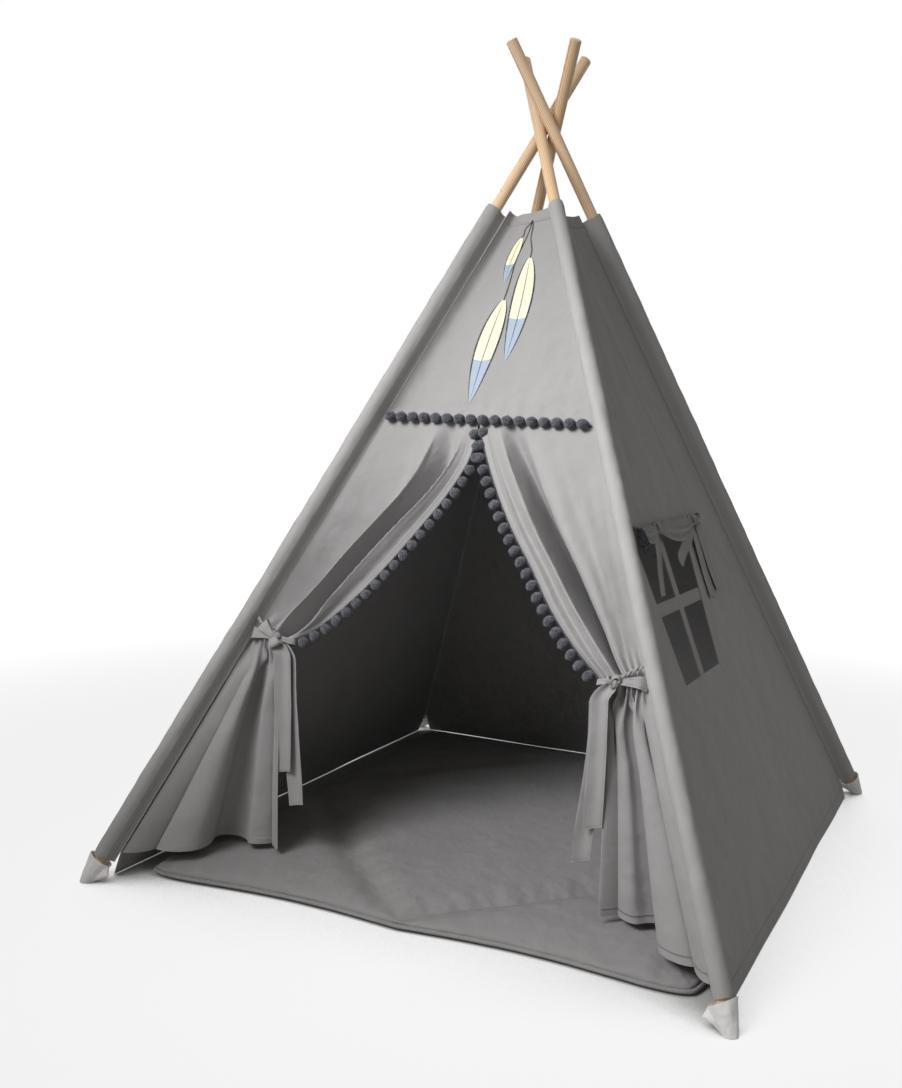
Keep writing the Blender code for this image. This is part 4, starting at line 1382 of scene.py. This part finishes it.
EDGE_HEIGHTS = (0.440, 0.452, 0.475, 0.505, 0.548, 0.604, 0.663, 0.723, 0.785, 0.848)
EDGE_REACH = {
    1: (0.3065, 0.293, 0.262, 0.228, 0.186, 0.142, 0.092, 0.049, 0.012, -0.020),
    -1: (0.3065, 0.289, 0.256, 0.225, 0.186, 0.142, 0.098, 0.056, 0.026, 0.020),
}
RIGHT_STRANDS = (0.0, 0.04, 0.08, 0.11, 0.17, 0.28, 0.40, 0.68, 0.91, 1.0)
LEFT_STRANDS = (0.0, 0.06, 0.12, 0.16, 0.27, 0.40, 0.68, 1.0)
UPPER_FOLDS = {  # for each height: how far across the strands lie, and how far out
    1: (
        (0.440, (0.0, 0.09, 0.18, 0.27, 0.40, 0.49, 0.58, 0.76, 0.92, 1.0),
         (-0.004, 0.004, -0.003, 0.006, 0.010, -0.009, 0.008, 0.002, 0.003, 0.0)),
        (0.475, (0.0, 0.09, 0.20, 0.29, 0.42, 0.50, 0.58, 0.78, 0.93, 1.0),
         (-0.005, 0.004, -0.005, 0.006, 0.014, -0.046, 0.010, 0.007, 0.002, 0.0)),
        (0.520, (0.0, 0.09, 0.19, 0.27, 0.385, 0.50, 0.60, 0.80, 0.94, 1.0),
         (-0.006, 0.003, -0.008, 0.004, 0.016, -0.086, 0.012, 0.010, 0.002, 0.0)),
        (0.604, (0.0, 0.07, 0.15, 0.21, 0.298, 0.42, 0.537, 0.77, 0.93, 1.0),
         (-0.006, 0.002, -0.009, 0.002, 0.016, -0.100, 0.012, 0.012, 0.003, 0.0)),
        (0.730, (0.0, 0.05, 0.11, 0.15, 0.235, 0.345, 0.455, 0.70, 0.92, 1.0),
         (-0.003, 0.002, -0.006, 0.002, 0.012, -0.060, 0.007, 0.008, 0.001, 0.0)),
        (0.848, RIGHT_STRANDS,
         (0.0, 0.0, 0.0, 0.0, 0.002, -0.001, 0.001, 0.001, 0.0, 0.0)),
    ),
    -1: (
        (0.440, (0.0, 0.04, 0.09, 0.20, 0.33, 0.47, 0.72, 1.0),
         (-0.003, 0.002, 0.006, -0.004, -0.008, 0.011, 0.000, 0.0)),
        (0.475, (0.0, 0.05, 0.11, 0.24, 0.38, 0.53, 0.70, 1.0),
         (-0.006, -0.002, 0.009, -0.018, -0.046, 0.011, -0.020, 0.0)),
        (0.520, (0.0, 0.08, 0.17, 0.245, 0.36, 0.485, 0.68, 1.0),
         (-0.010, -0.004, 0.011, -0.024, -0.080, 0.009, -0.038, 0.0)),
        (0.604, (0.0, 0.08, 0.18, 0.23, 0.34, 0.45, 0.64, 1.0),
         (-0.012, -0.005, 0.011, -0.026, -0.088, 0.008, -0.044, 0.0)),
        (0.730, (0.0, 0.05, 0.11, 0.145, 0.245, 0.36, 0.55, 1.0),
         (-0.006, -0.002, 0.009, -0.012, -0.052, 0.006, -0.030, 0.0)),
        (0.848, LEFT_STRANDS,
         (0.0, 0.0, 0.001, 0.0, -0.001, 0.002, 0.0, 0.0)),
    ),
}
LOWER_STRANDS = (0.0, 0.20, 0.40, 0.60, 0.80, 1.0)
LOWER_LEVELS = (0.046, 0.16, 0.30, 0.38)
LOWER_ACROSS = (  # of each strand at each level, for the right curtain
    (0.322, 0.352, 0.404, 0.436, 0.489, 0.5562),
    (0.322, 0.348, 0.388, 0.412, 0.452, 0.5067),
    (0.319, 0.340, 0.369, 0.384, 0.408, 0.4460),
    (0.316, 0.333, 0.352, 0.364, 0.382, 0.4125),
)
LOWER_ALONG = (
    (-0.413, -0.424, -0.412, -0.456, -0.545, -0.5598),
    (-0.411, -0.421, -0.409, -0.441, -0.505, -0.5093),
    (-0.408, -0.416, -0.404, -0.422, -0.455, -0.4497),
    (-0.405, -0.411, -0.400, -0.410, -0.425, -0.4165),
)
GATHER_REACH = 0.032
PLEATS = 6
PLEAT_DEPTH = 0.0050
CREST_DEPTH = 0.0040  # of the sharp crease along each curtain's outer fold
CREST_WIDTH = 0.010
RIDGE_DEPTH = 0.0070  # of the left curtain's second crease
RIDGE_WIDTH = 0.014
LOWER_FOLDS = 3
LOWER_FOLD_DEPTH = 0.018
LOWER_FOLD_GROWTH = 0.030
CURTAIN_HALF_FALL = 0.44  # metres of cloth from the trim to the tie, and from the tie to the hem
CURTAIN_CREASES = (0.0036, 0.0014)  # long ones, and small ones over them
CURTAIN_TOP_WIDTH = 0.208
CURTAIN_WIDENING = 0.175
SEAM_FOOT = 0.018
SWING_DEGREES = 35.0
FOLD_LINES = {}


def curtain_seam(side, height):
    return wall_point("front", 1.0 if side > 0 else 0.0, height)


def edge_reach(side, height):
    """Across place of the free edge. It leans from the doorway's split to the tie."""
    return side * curve_through(EDGE_HEIGHTS, EDGE_REACH[side], height)


def gather(height):
    """How near a height is to the tie."""
    return math.exp(-((height - TIE_HEIGHT) / GATHER_REACH) ** 2)


def pleat(strand):
    """Small pleats where the tie draws the cloth together."""
    calm = ease(strand, 0.0, 0.10) * (1 - 0.6 * ease(strand, 0.90, 1.0))
    return math.sin(2 * math.pi * PLEATS * strand + 0.6) * calm


def fold_lines(side, height):
    """The upper curtain's folds at a height: how far across its strands lie, and how far out."""
    key = (side, round(height, 6))
    if key not in FOLD_LINES:
        heights, *kinds = zip(*UPPER_FOLDS[side])
        FOLD_LINES[key] = [
            [curve_through(heights, strand, height) for strand in zip(*levels)] for levels in kinds
        ]
    return FOLD_LINES[key]


def upper_place(side, strand, height):
    strands = RIGHT_STRANDS if side > 0 else LEFT_STRANDS
    reaches, depths = fold_lines(side, height)
    reach = curve_through(strands, reaches, strand)
    depth = curve_through(strands, depths, strand) + PLEAT_DEPTH * gather(height) * pleat(strand)
    crest = strands[4] if side > 0 else strands[2]
    crinkle = 1.0 + 0.35 * math.sin(height * 420 + strand * 90)
    fade = ease(height, 0.45, 0.52) * (1.0 - ease(height, 0.78, 0.83))
    depth += CREST_DEPTH * math.exp(-((strand - crest) / CREST_WIDTH) ** 2) * crinkle * fade
    if side < 0:
        depth += RIDGE_DEPTH * math.exp(-((strand - strands[5]) / RIDGE_WIDTH) ** 2) * fade
    free = edge_reach(side, height)
    across = free + (curtain_seam(side, height).x - free) * reach
    return front_point(across, height, depth)


def lower_line(side, strand, height):
    """The line of the lower curtain's outer folds, laid out for the right-hand side."""
    tie = upper_place(side, strand, TIE_HEIGHT)
    levels = (*LOWER_LEVELS, TIE_HEIGHT)
    place = []
    for rows, end in ((LOWER_ACROSS, abs(tie.x)), (LOWER_ALONG, tie.y)):
        values = [curve_through(LOWER_STRANDS, row, strand) for row in rows]
        place.append(curve_through(levels, values + [end], height))
    return Vector((*place, 0.0))


def lower_place(side, strand, height):
    step = 0.01
    before = lower_line(side, max(strand - step, 0.0), height)
    after = lower_line(side, min(strand + step, 1.0), height)
    ahead = (after - before).normalized()
    inward = Vector((-ahead.y, ahead.x, 0.0))
    drop = (TIE_HEIGHT - height) / (TIE_HEIGHT - CURTAIN_HEM)
    depth = (LOWER_FOLD_DEPTH + LOWER_FOLD_GROWTH * drop) * (1.0 - gather(height))
    fold = 0.5 - 0.5 * math.cos(2 * math.pi * LOWER_FOLDS * strand)
    point = lower_line(side, strand, height) + inward * depth * fold
    seam = curtain_seam(side, height)
    mirrored = curtain_seam(1, height)
    near_seam = ease(strand, 0.7, 1.0)
    x = point.x + (abs(seam.x) - abs(mirrored.x)) * near_seam
    y = point.y + (seam.y - mirrored.y) * near_seam
    return Vector((side * x, y, height))


def curtain_spot(side, strand, fall):
    """fall is 0 at the top, 1 at the tie and 2 at the hem."""
    if fall <= 1.0:
        height = TRIM_HEIGHT - GAP + (TIE_HEIGHT - TRIM_HEIGHT + GAP) * fall
        return upper_place(side, strand, height)
    near_seam = ease(strand, 0.93, 1.0)
    hem = CURTAIN_HEM + (CORNER_HEM - CURTAIN_HEM) * near_seam
    return lower_place(side, strand, TIE_HEIGHT + (hem - TIE_HEIGHT) * (fall - 1.0))


def make_curtain(side, word):
    columns, rows = 230, 120
    seed = 20 + side

    def place(u, v):
        fall = 2.0 * (1.0 - v)
        calm = math.sin(math.pi * u) ** 0.5 * ease(fall, 0.0, 0.2)
        crease = softly((u * 6, fall * 2, 0), seed) * CURTAIN_CREASES[0]
        crease += softly((u * 12, fall * 5 + u * 4, 1), seed + 3) * CURTAIN_CREASES[1]
        tight = 1 - 0.9 * math.exp(-((fall - 1.0) / 0.30) ** 2)
        return curtain_spot(side, u, fall) + FRONT_NORMAL * crease * calm * tight

    def lay(u, v):
        fall = 2.0 * (1.0 - v)
        from_edge = u * (CURTAIN_TOP_WIDTH + CURTAIN_WIDENING * fall)
        from_hem = (2.0 - fall) * CURTAIN_HALF_FALL
        return CURTAIN_HALF_FALL * fall, from_edge, min(from_edge, from_hem)

    name = "doorway_curtain_" + word
    made = sheet(name, columns, rows, place, CURTAIN_CANVAS, lay, CURTAIN_CLOTH)
    if side > 0:
        made.data.flip_normals()
    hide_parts("curtain_" + word)
    weights = []
    for vertex, spot in zip(made.data.vertices, made.data.attributes["cloth"].data):
        fall = spot.vector.x / CURTAIN_HALF_FALL
        strand = spot.vector.y / (CURTAIN_TOP_WIDTH + CURTAIN_WIDENING * fall)
        weights.append(swing_weight(side, vertex.co, strand))
    bend(made, weights)


def swing_place(side, point):
    """Distance and angle of a place from the curtain's pivot, the angle from straight down."""
    offset = point - front_point(DOOR_SPLIT, TRIM_HEIGHT)
    below = -offset.y * math.sin(WALL_TILT) - offset.z * math.cos(WALL_TILT)
    aside = side * offset.x
    return math.hypot(aside, below), math.degrees(math.atan2(aside, below))


def seam_angles(side):
    """Distances from the pivot down the sewn edge, with the angle at each."""
    heights = evenly(TRIM_HEIGHT, SEAM_FOOT, 59)
    return list(zip(*[swing_place(side, curtain_seam(side, height)) for height in heights]))


SEAM_ANGLES = {side: seam_angles(side) for side in (-1, 1)}


def swing_weight(side, point, strand):
    """How much of the closing swing a place takes: none at its seams, all of it at the free edge."""
    reach, angle = swing_place(side, point)
    distances, angles = SEAM_ANGLES[side]
    seam_angle = 90.0 if reach < distances[0] else curve_through(distances, angles, reach)
    weight = (angle - strand * seam_angle - 1.6) / SWING_DEGREES
    below = reach * math.cos(math.radians(angle))
    return min(max(weight, 0.0), 1.0) * ease(reach, 0.0, 0.03) * ease(below, 0.0, 0.02 + 0.15 * strand)


# Pom-pom trims

def walk(route, distance):
    for start, end in zip(route, route[1:]):
        length = (end - start).length
        if distance <= length:
            return start.lerp(end, distance / length)
        distance -= length
    return route[-1]


def make_curtain_trim(side, word):
    last = 60
    heights = evenly(TRIM_HEIGHT - 0.012, KNOT_HEIGHT + 0.001, last)
    edge = [upper_place(side, 0.0, height) for height in heights]
    cord_route, pom_route = [], []
    for index, point in enumerate(edge):
        ahead = (edge[min(index + 1, last)] - edge[max(index - 1, 0)]).normalized()
        inward = ahead.cross(FRONT_NORMAL) * side
        cord_route.append(point + inward * 0.0020)
        pom_route.append(point + inward * (0.0030 + POM_RADIUS))
    length = sum((end - start).length for start, end in zip(pom_route, pom_route[1:]))
    count = int((length - FIRST_POM) / POM_PITCH)
    centres = [walk(pom_route, FIRST_POM + index * POM_PITCH) for index in range(count + 1)]
    nearest = [min(cord_route, key=lambda point: (point - centre).length) for centre in centres]
    ways = [(seat - centre).normalized() for seat, centre in zip(nearest, centres)]
    cord = twisted_cord("cord", cord_route, TRIM_CORD_RADIUS, TRIM_CORD_TWIST)
    made = pom_row("curtain_poms_" + word, centres, POM_RADIUS, ways, cord)
    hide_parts("curtain_trim_" + word)
    weights = []
    for vertex in made.data.vertices:
        seat = min(edge, key=lambda point: (point - vertex.co).length)
        weights.append(swing_weight(side, seat, 0.0))
    bend(made, weights)


def make_front_trim():
    out = CLOTH / 2 + GAP + POM_RADIUS
    low = wall_point("front", 0.0, TRIM_HEIGHT).x + FRONT_TRIM_INSET
    high = wall_point("front", 1.0, TRIM_HEIGHT).x - FRONT_TRIM_INSET
    count = 1 + int((high - low) / POM_PITCH)
    start = (low + high) / 2 - (count - 1) * POM_PITCH / 2
    centres = [front_point(start + index * POM_PITCH, TRIM_HEIGHT, out) for index in range(count)]
    route = [point - FRONT_NORMAL * (POM_RADIUS - 0.0026) for point in centres]
    reach = Vector((POM_RADIUS + 0.004, 0, 0))
    route = [route[0] - reach, *route, route[-1] + reach]
    cord = twisted_cord("cord", route, TRIM_CORD_RADIUS, TRIM_CORD_TWIST)
    made = pom_row("front_poms", centres, POM_RADIUS, [Vector((1, 0, 0))] * count, cord)
    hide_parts("front_trim")
    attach(made, "front_frame")


# Tie-backs

STRAND_RADIUS = 0.0034
STRAND_TURN = 0.020
STRAND_START = 0.480  # height where it leaves the sleeve
KNOT_SIZE = 0.0036
KNOT_DEPTH = 0.0034
KNOT_STRAP_WIDTH = 0.0085
KNOT_CLOTH = 0.0024
TAIL_WIDTH = 0.034
TAIL_TOP_WIDTH = 0.016
TAIL_SWAY = 1.0
TAILS = (  # place across, drift and depth behind the knot, and length
    ("front", 0.310, 0.002, -0.002, 0.248),
    ("back", 0.304, 0.018, 0.006, 0.312),
)


def bundle_point(side, across, out, height):
    """A place by the gathered cloth, across it and in front of it or behind it."""
    return front_point(side * across, height, out)


def strap_stops(side):
    """Places of the flat strand: across, out and up, and its width there."""
    seam = abs(curtain_seam(side, TIE_HEIGHT).x)
    return (
        (seam - 0.002, 0.0030, 0.446, 0.024),
        (seam - 0.012, 0.0125, 0.446, 0.021),
        (seam - 0.026, 0.0150, 0.445, 0.016),
        (KNOT_REACH + 0.012, 0.0160, 0.443, 0.010),
        (KNOT_REACH, 0.0158, KNOT_HEIGHT, 0.008),
        (KNOT_REACH - 0.012, 0.0150, 0.442, 0.008),
        (0.312, 0.0130, 0.441, 0.009),
        (0.3000, 0.0070, 0.440, 0.010),
        (0.2965, 0.0000, 0.440, 0.010),
        (0.3000, -0.0080, 0.440, 0.010),
        (0.312, -0.0140, 0.441, 0.012),
        (0.345, -0.0150, 0.443, 0.014),
        (seam - 0.016, -0.0120, 0.445, 0.018),
        (seam - 0.002, -0.0030, 0.446, 0.020),
    )


def make_straps(side, word):
    """The tie's two strands: one twisted, one flat, from the sleeve round the gathered cloth."""
    seam = abs(curtain_seam(side, TIE_HEIGHT).x)
    kinds = list(zip(*strap_stops(side)))
    numbers = range(len(kinds[0]))
    route, widths, ways = [], [], []
    for at in evenly(0, numbers[-1], 70):
        across, out, height, width = [curve_through(numbers, kind, at) for kind in kinds]
        widths.append(width)
        route.append(bundle_point(side, across, out, height))
        way = route[-1] - bundle_point(side, max(across, 0.312), 0.0, height)
        ways.append(way if way.length > 0.001 else FRONT_NORMAL)
    strap = ribbon("strap", route, widths, ways)
    twisted = []
    for share in evenly(0.0, 1.0, 24):
        across = (seam - 0.004) + (KNOT_REACH - seam + 0.004) * share
        height = STRAND_START + (KNOT_HEIGHT + 0.002 - STRAND_START) * share ** 0.8
        out = 0.0030 + 0.0145 * math.sin(math.pi / 2 * min(1.0, share * 2.2))
        twisted.append(bundle_point(side, across, out, height))
    strand = twisted_cord("strand", twisted, STRAND_RADIUS, STRAND_TURN, RIBBON_CANVAS)
    join(strap, [strand, make_knot(side)] + (make_bow(side) if side < 0 else []))
    made = settle(strap, "tie_strap_" + word, RIBBON_CANVAS)
    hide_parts("tie_band_" + word)
    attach(made, "front_frame")


def make_knot(side):
    """An overhand knot in the flat tie."""
    centre = bundle_point(side, KNOT_REACH, KNOT_OUT, KNOT_HEIGHT)
    route = []
    for turn in evenly(0.0, 2 * math.pi, 110):
        x = math.sin(turn) + 2 * math.sin(2 * turn)
        y = math.cos(turn) - 2 * math.cos(2 * turn)
        z = -math.sin(3 * turn)
        offset = Vector((x * KNOT_SIZE * side, 0, 0)) + FRONT_UP * (y * KNOT_SIZE)
        offset += FRONT_NORMAL * (z * KNOT_DEPTH)
        route.append(centre + offset)
    ways = [point - centre + FRONT_NORMAL * 0.004 for point in route]
    return ribbon("knot", route, [KNOT_STRAP_WIDTH] * len(route), ways, KNOT_CLOTH, arch=0.5)


def make_bow(side):
    """Two flat loops of the tie that stand up from the knot."""
    knot = bundle_point(side, KNOT_REACH, 0.0215, KNOT_HEIGHT)
    loops = []
    for reach, rise, long in ((side * 0.80, 0.62, 0.036), (-side * 0.55, -0.78, 0.020)):
        way = (Vector((reach, 0, 0)) + FRONT_UP * rise).normalized()
        route, widths, ways = [], [], []
        for turn in evenly(0.0, 2 * math.pi, 24):
            far = (1 - math.cos(turn)) / 2
            aside = 0.0065 * math.sin(turn) * (0.4 + 0.6 * far)
            route.append(knot + way * (long * far) + FRONT_NORMAL * aside + FRONT_NORMAL * 0.001)
            widths.append(0.008 + 0.016 * far)
            face = math.copysign(0.4, math.sin(turn))
            ways.append(FRONT_NORMAL * face + way * (far * 1.4 - 0.4) + FRONT_UP * 0.01)
        loops.append(ribbon("loop", route, widths, ways))
    return loops


def make_tail(side, word, layer, middle, drift, behind, length):
    """A loose end of the tie, hanging from the knot with a soft fold down it."""
    knot = bundle_point(side, KNOT_REACH, KNOT_OUT, KNOT_HEIGHT)
    top = knot.z - 0.004
    depth = knot.y + behind

    def place(u, v):
        fall = 1.0 - v
        width = TAIL_TOP_WIDTH + (TAIL_WIDTH - TAIL_TOP_WIDTH) * ease(fall, -0.02, 0.045)
        lean = ease(fall, -0.04, 0.12)
        centre = knot.x + (side * middle - knot.x) * lean - side * drift * ease(fall, 0.25, 1.1)
        aside = (u - 0.5) * width
        swing = 0.004 * math.sin(fall * 4.0 + TAIL_SWAY) * fall
        fold = 0.0030 * math.cos(2 * math.pi * u) * (1 - 0.5 * fall)
        fold += 0.0016 * softly((u * 2, fall * 4, 0), TAIL_SWAY)
        angle = 0.35 * math.sin(fall * 3 + TAIL_SWAY)
        across = centre + aside * math.cos(angle) + swing * 0.5
        out = depth - aside * math.sin(angle) * side * 0.5 - fold + 0.004 * (1 - lean)
        skew = 0.008 * (u - 0.5) * ease(fall, 0.8, 1.0)
        return Vector((across, out, top - fall * length + skew))

    def lay(u, v):
        return v * length, u * TAIL_WIDTH, min(u * TAIL_WIDTH, (1 - u) * TAIL_WIDTH, v * length)

    made = sheet("tie_end_" + word + "_" + layer, 14, 60, place, RIBBON_CANVAS, lay, TAIL_CLOTH)
    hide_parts("tie_tail_" + word + "_" + layer)
    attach(made, word + "_tie_tails")


# Floor mat

def mat_plan(u, v):
    half = MAT_SIZE / 2

    def reach(main, cross):
        drawn = MAT_DRAW_IN * math.sin(math.pi * abs(cross)) + MAT_MIDDLE_IN * (1 - abs(cross))
        return main * (half - drawn * abs(main) ** 3)

    corner = MAT_CORNER * (abs(u) * abs(v)) ** 8
    return reach(u, v) - math.copysign(corner, u), reach(v, u) - math.copysign(corner, v)


MAT_CELLS = 220
MAT_LOWEST = 0.0085
MAT_SWELL = 0.006  # of the top's puckers over the mat's thickness, at most
SEAM_PUCKERS = (0.0060, 0.050)  # depth, and how far they reach from the seam
RIM_PUCKERS = (0.0065, 0.060)
MAT_LUMPS = 0.0030
MAT_UNDERSIDE = ((0.0049, -0.001), (0.0004, 0.004))  # height of the rim's lower edges, and inwards
PIPING_STEPS = 90
OFF_SEAMS = (1.0, 0.0, 1.0)  # the piping's distances from seams and rim, which have no stitches there


def seam_distance(u, v):
    return abs(abs(u) + abs(v) - 1.0) * MAT_SIZE / 2 / math.sqrt(2)


def seam_run(u, v):
    return (u * math.copysign(1, v) - v * math.copysign(1, u)) * MAT_SIZE / 2


def rim_distance(u, v):
    return (1 - max(abs(u), abs(v))) * MAT_SIZE / 2


def mat_height(u, v):
    """The padded top, sunk along the sewn diamond and puckered beside its seams and rim."""
    crown = max(0.0, (1 - abs(u) ** 6) * (1 - abs(v) ** 6))
    off_line = seam_distance(u, v)
    height = MAT_EDGE + (MAT_THICKNESS - MAT_EDGE) * crown ** 0.5
    channel = MAT_CHANNEL * math.exp(-((off_line / MAT_CHANNEL_WIDTH) ** 2))
    height -= channel * crown ** 0.5
    rim = rim_distance(u, v)
    side_line = (v if abs(u) > abs(v) else u) * MAT_SIZE / 2
    wave = softly((seam_run(u, v) * 30, off_line * 10, 0.3), 31)
    depth, reach = SEAM_PUCKERS
    height += depth * wave * math.exp(-off_line / reach) * ease(off_line, 0.0, 0.008) * crown
    wave = softly((side_line * 34, rim * 9, 0.7), 37)
    depth, reach = RIM_PUCKERS
    height += depth * wave * math.exp(-rim / reach) * ease(rim, 0.0, 0.012)
    height += MAT_LUMPS * softly((u * 5, v * 5, 0), 41) * crown
    return min(max(MAT_LOWEST, height), MAT_THICKNESS + MAT_SWELL)


def finish_mat_piece(item, stands_for):
    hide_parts(stands_for)
    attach(item, "rear_frame")
    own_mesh(item)


def make_mat():
    places = evenly(-1, 1, MAT_CELLS)
    spots = [(u, v) for v in places for u in places]
    corners = [(*mat_plan(u, v), mat_height(u, v)) for u, v in spots]
    values = [(seam_distance(u, v), seam_run(u, v), rim_distance(u, v)) for u, v in spots]
    mat = new_mesh("mat", corners, grid_faces(MAT_CELLS, MAT_CELLS), "quilt", values)
    rework(mat, add_underside)
    settle(mat, "quilted_mat", MAT_COTTON)
    smooth(mat, 60)
    finish_mat_piece(mat, "floor_mat")


def make_piping():
    side = evenly(-1, 1, PIPING_STEPS)[:-1]
    plan = [(u, -1) for u in side] + [(1, v) for v in side]
    plan += [(-u, 1) for u in side] + [(-1, -v) for v in side]
    edge = [Vector((*mat_plan(u, v), PIPING_HEIGHT)) for u, v in plan]
    corners = []
    around = 10
    count = len(edge)
    for index, point in enumerate(edge):
        along = (edge[(index + 1) % count] - edge[index - 1]).normalized()
        outward = Vector((along.y, -along.x, 0))
        centre = point + outward * (PIPING_RADIUS + 3 * GAP)
        reach = PIPING_RADIUS * (1.0 + 0.10 * softly((point.x * 60, point.y * 60, 0), 51))
        corners += circle(centre, outward, Vector((0, 0, 1)), reach, around)
    total = len(corners)
    faces = grid_faces(around, count, ring=True, turned=True)
    faces = [[corner % total for corner in face] for face in faces]
    piping = new_mesh("piping", corners, faces, "quilt", [OFF_SEAMS] * total)
    settle(piping, "mat_edge_piping", MAT_COTTON)
    rework(piping, fix_normals)
    smooth(piping, 60)
    finish_mat_piece(piping, "mat_piping")


# Camera, light and floor

CAMERA_PLACE = (0.9298, -2.0816, 0.8667)
CAMERA_TURN = math.radians(21.520)
CAMERA_DIP = math.radians(10.357)
CAMERA_ROLL = math.radians(2.244)
CAMERA_LENS = 37.53
CAMERA_SHIFT = (-0.1199, 0.0727)
BOX_PLACE = (-0.45, -1.65, 1.75)
BOX_AIM = (0.20, -0.36, 0.75)
BOX_SIZE = 0.9
BOX_SPREAD = math.radians(72)
BOX_ENERGY = 9.0
BOX_COLOUR = (1.0, 0.985, 0.985)
BACK_WAY = (0.70, -1.0, -0.7)
BACK_ANGLE = math.radians(40)
BACK_ENERGY = 0.5
SKY_LIGHT = 0.28  # the surroundings' strength as light, and as a background they have 1
SKY_TINT = (1.0, 0.975, 0.92)
WHITE = (1.0, 1.0, 1.0)
FLOOR_GREY = (0.48, 0.48, 0.48)
FLOOR_GLOW = 1.12
FLOOR_GLOW_NEAR = 0.74  # share of the glow near the tent
FLOOR_GLOW_REACH = (1.5, 9.0)  # squares of the distances between which it grows to all of it
FLOOR_OPEN = (0.40, 0.66)  # how open to the sky the floor is where the glow starts, and is full


def make_camera():
    """Stands where the photograph was taken from, in front of the doorway and to its right."""
    across, dip = math.sin(CAMERA_TURN), math.cos(CAMERA_DIP)
    ahead = Vector((-across * dip, math.cos(CAMERA_TURN) * dip, -math.sin(CAMERA_DIP)))
    level = Vector((math.cos(CAMERA_TURN), across, 0))
    upright = level.cross(ahead)
    right = level * math.cos(CAMERA_ROLL) + upright * math.sin(CAMERA_ROLL)
    up = upright * math.cos(CAMERA_ROLL) - level * math.sin(CAMERA_ROLL)
    data = bpy.data.cameras.new("camera")
    data.sensor_width = 36.0
    data.lens = CAMERA_LENS
    data.shift_x, data.shift_y = CAMERA_SHIFT
    data.clip_start = 0.05
    data.clip_end = 60.0
    camera = bpy.data.objects.new("camera", data)
    bpy.context.scene.collection.objects.link(camera)
    axes = Matrix((right, up, -ahead)).transposed().to_4x4()
    camera.matrix_world = Matrix.Translation(CAMERA_PLACE) @ axes
    bpy.context.scene.camera = camera


def add_light(name, kind, energy, place, aim):
    light = bpy.data.lights.new(name, kind)
    light.energy = energy
    lamp = bpy.data.objects.new(name, light)
    lamp.location = place
    lamp.rotation_mode = "QUATERNION"
    lamp.rotation_quaternion = (Vector(aim) - Vector(place)).to_track_quat("-Z", "Y")
    bpy.context.scene.collection.objects.link(lamp)
    return light


def make_lights():
    """A soft box high in front of the doorway, and weak light from behind for the far walls."""
    box = add_light("soft_box", "AREA", BOX_ENERGY, BOX_PLACE, BOX_AIM)
    box.shape = "SQUARE"
    box.size = BOX_SIZE
    box.spread = BOX_SPREAD
    box.color = BOX_COLOUR
    back = add_light("back", "SUN", BACK_ENERGY, (0, 0, 0), BACK_WAY)
    back.angle = BACK_ANGLE
    world = bpy.data.worlds.new("studio")
    world.use_nodes = True
    made = Graph(world.node_tree)
    background = made.tree.nodes["Background"]
    seen = made.seen()
    made.connect(background.inputs["Strength"], seen * (1 - SKY_LIGHT) + SKY_LIGHT)
    made.connect(background.inputs["Color"], made.mix(seen, SKY_TINT, WHITE))
    bpy.context.scene.world = world


def make_floor():
    """A grey floor that glows to the camera, where the tent doesn't stand over it."""
    deselect()
    bpy.ops.mesh.primitive_plane_add(size=40.0, location=(0, 0, -0.0002))
    floor = bpy.context.object
    floor.name = "floor"
    made = Finish("floor", roughness=0.9, specular=0.1)
    made.finish(FLOOR_GREY)
    glow = made.add("ShaderNodeEmission", {}, {"Color": (*WHITE, 1.0), "Strength": FLOOR_GLOW})
    x, y = made.parts(made.place())[:2]
    sky = made.add("ShaderNodeAmbientOcclusion", {"samples": 8}, {"Distance": 1.2}).outputs["AO"]
    away = (x * x + y * y).band(*FLOOR_GLOW_REACH)
    # The glow fades by ambient occlusion where the tent closes the floor in: painted soft shade round its
    # feet, over the floor's real shadow.
    share = made.seen() * Number(made, sky).band(*FLOOR_OPEN)
    share = share * (FLOOR_GLOW_NEAR + away * (1 - FLOOR_GLOW_NEAR))
    blend = made.add("ShaderNodeMixShader", {}, {0: share, 1: made.shader.outputs[0], 2: glow.outputs[0]})
    made.connect(made.tree.nodes["Material Output"].inputs["Surface"], blend.outputs[0])
    floor.data.materials.append(made.material)


def make_tent():
    make_camera()
    make_lights()
    make_floor()
    for corner in CORNERS:
        make_pole(corner)
        make_cap(corner)
        make_sleeve(corner)
    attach(make_plain_wall("rear", 2), "rear_frame")
    bend_with_side(make_plain_wall("left", 7))
    make_window_wall()
    make_window_bars()
    make_window_cord()
    make_swag()
    make_window_ribbons()
    make_front_panel()
    make_print()
    make_front_trim()
    for side, word in ((-1, "left"), (1, "right")):
        make_straps(side, word)
        make_curtain(side, word)
        make_curtain_trim(side, word)
        for layer, middle, drift, behind, length in TAILS:
            make_tail(side, word, layer, middle, drift, behind, length)
    make_mat()
    make_piping()


make_tent()

bpy.context.scene.view_settings.view_transform = "Standard"
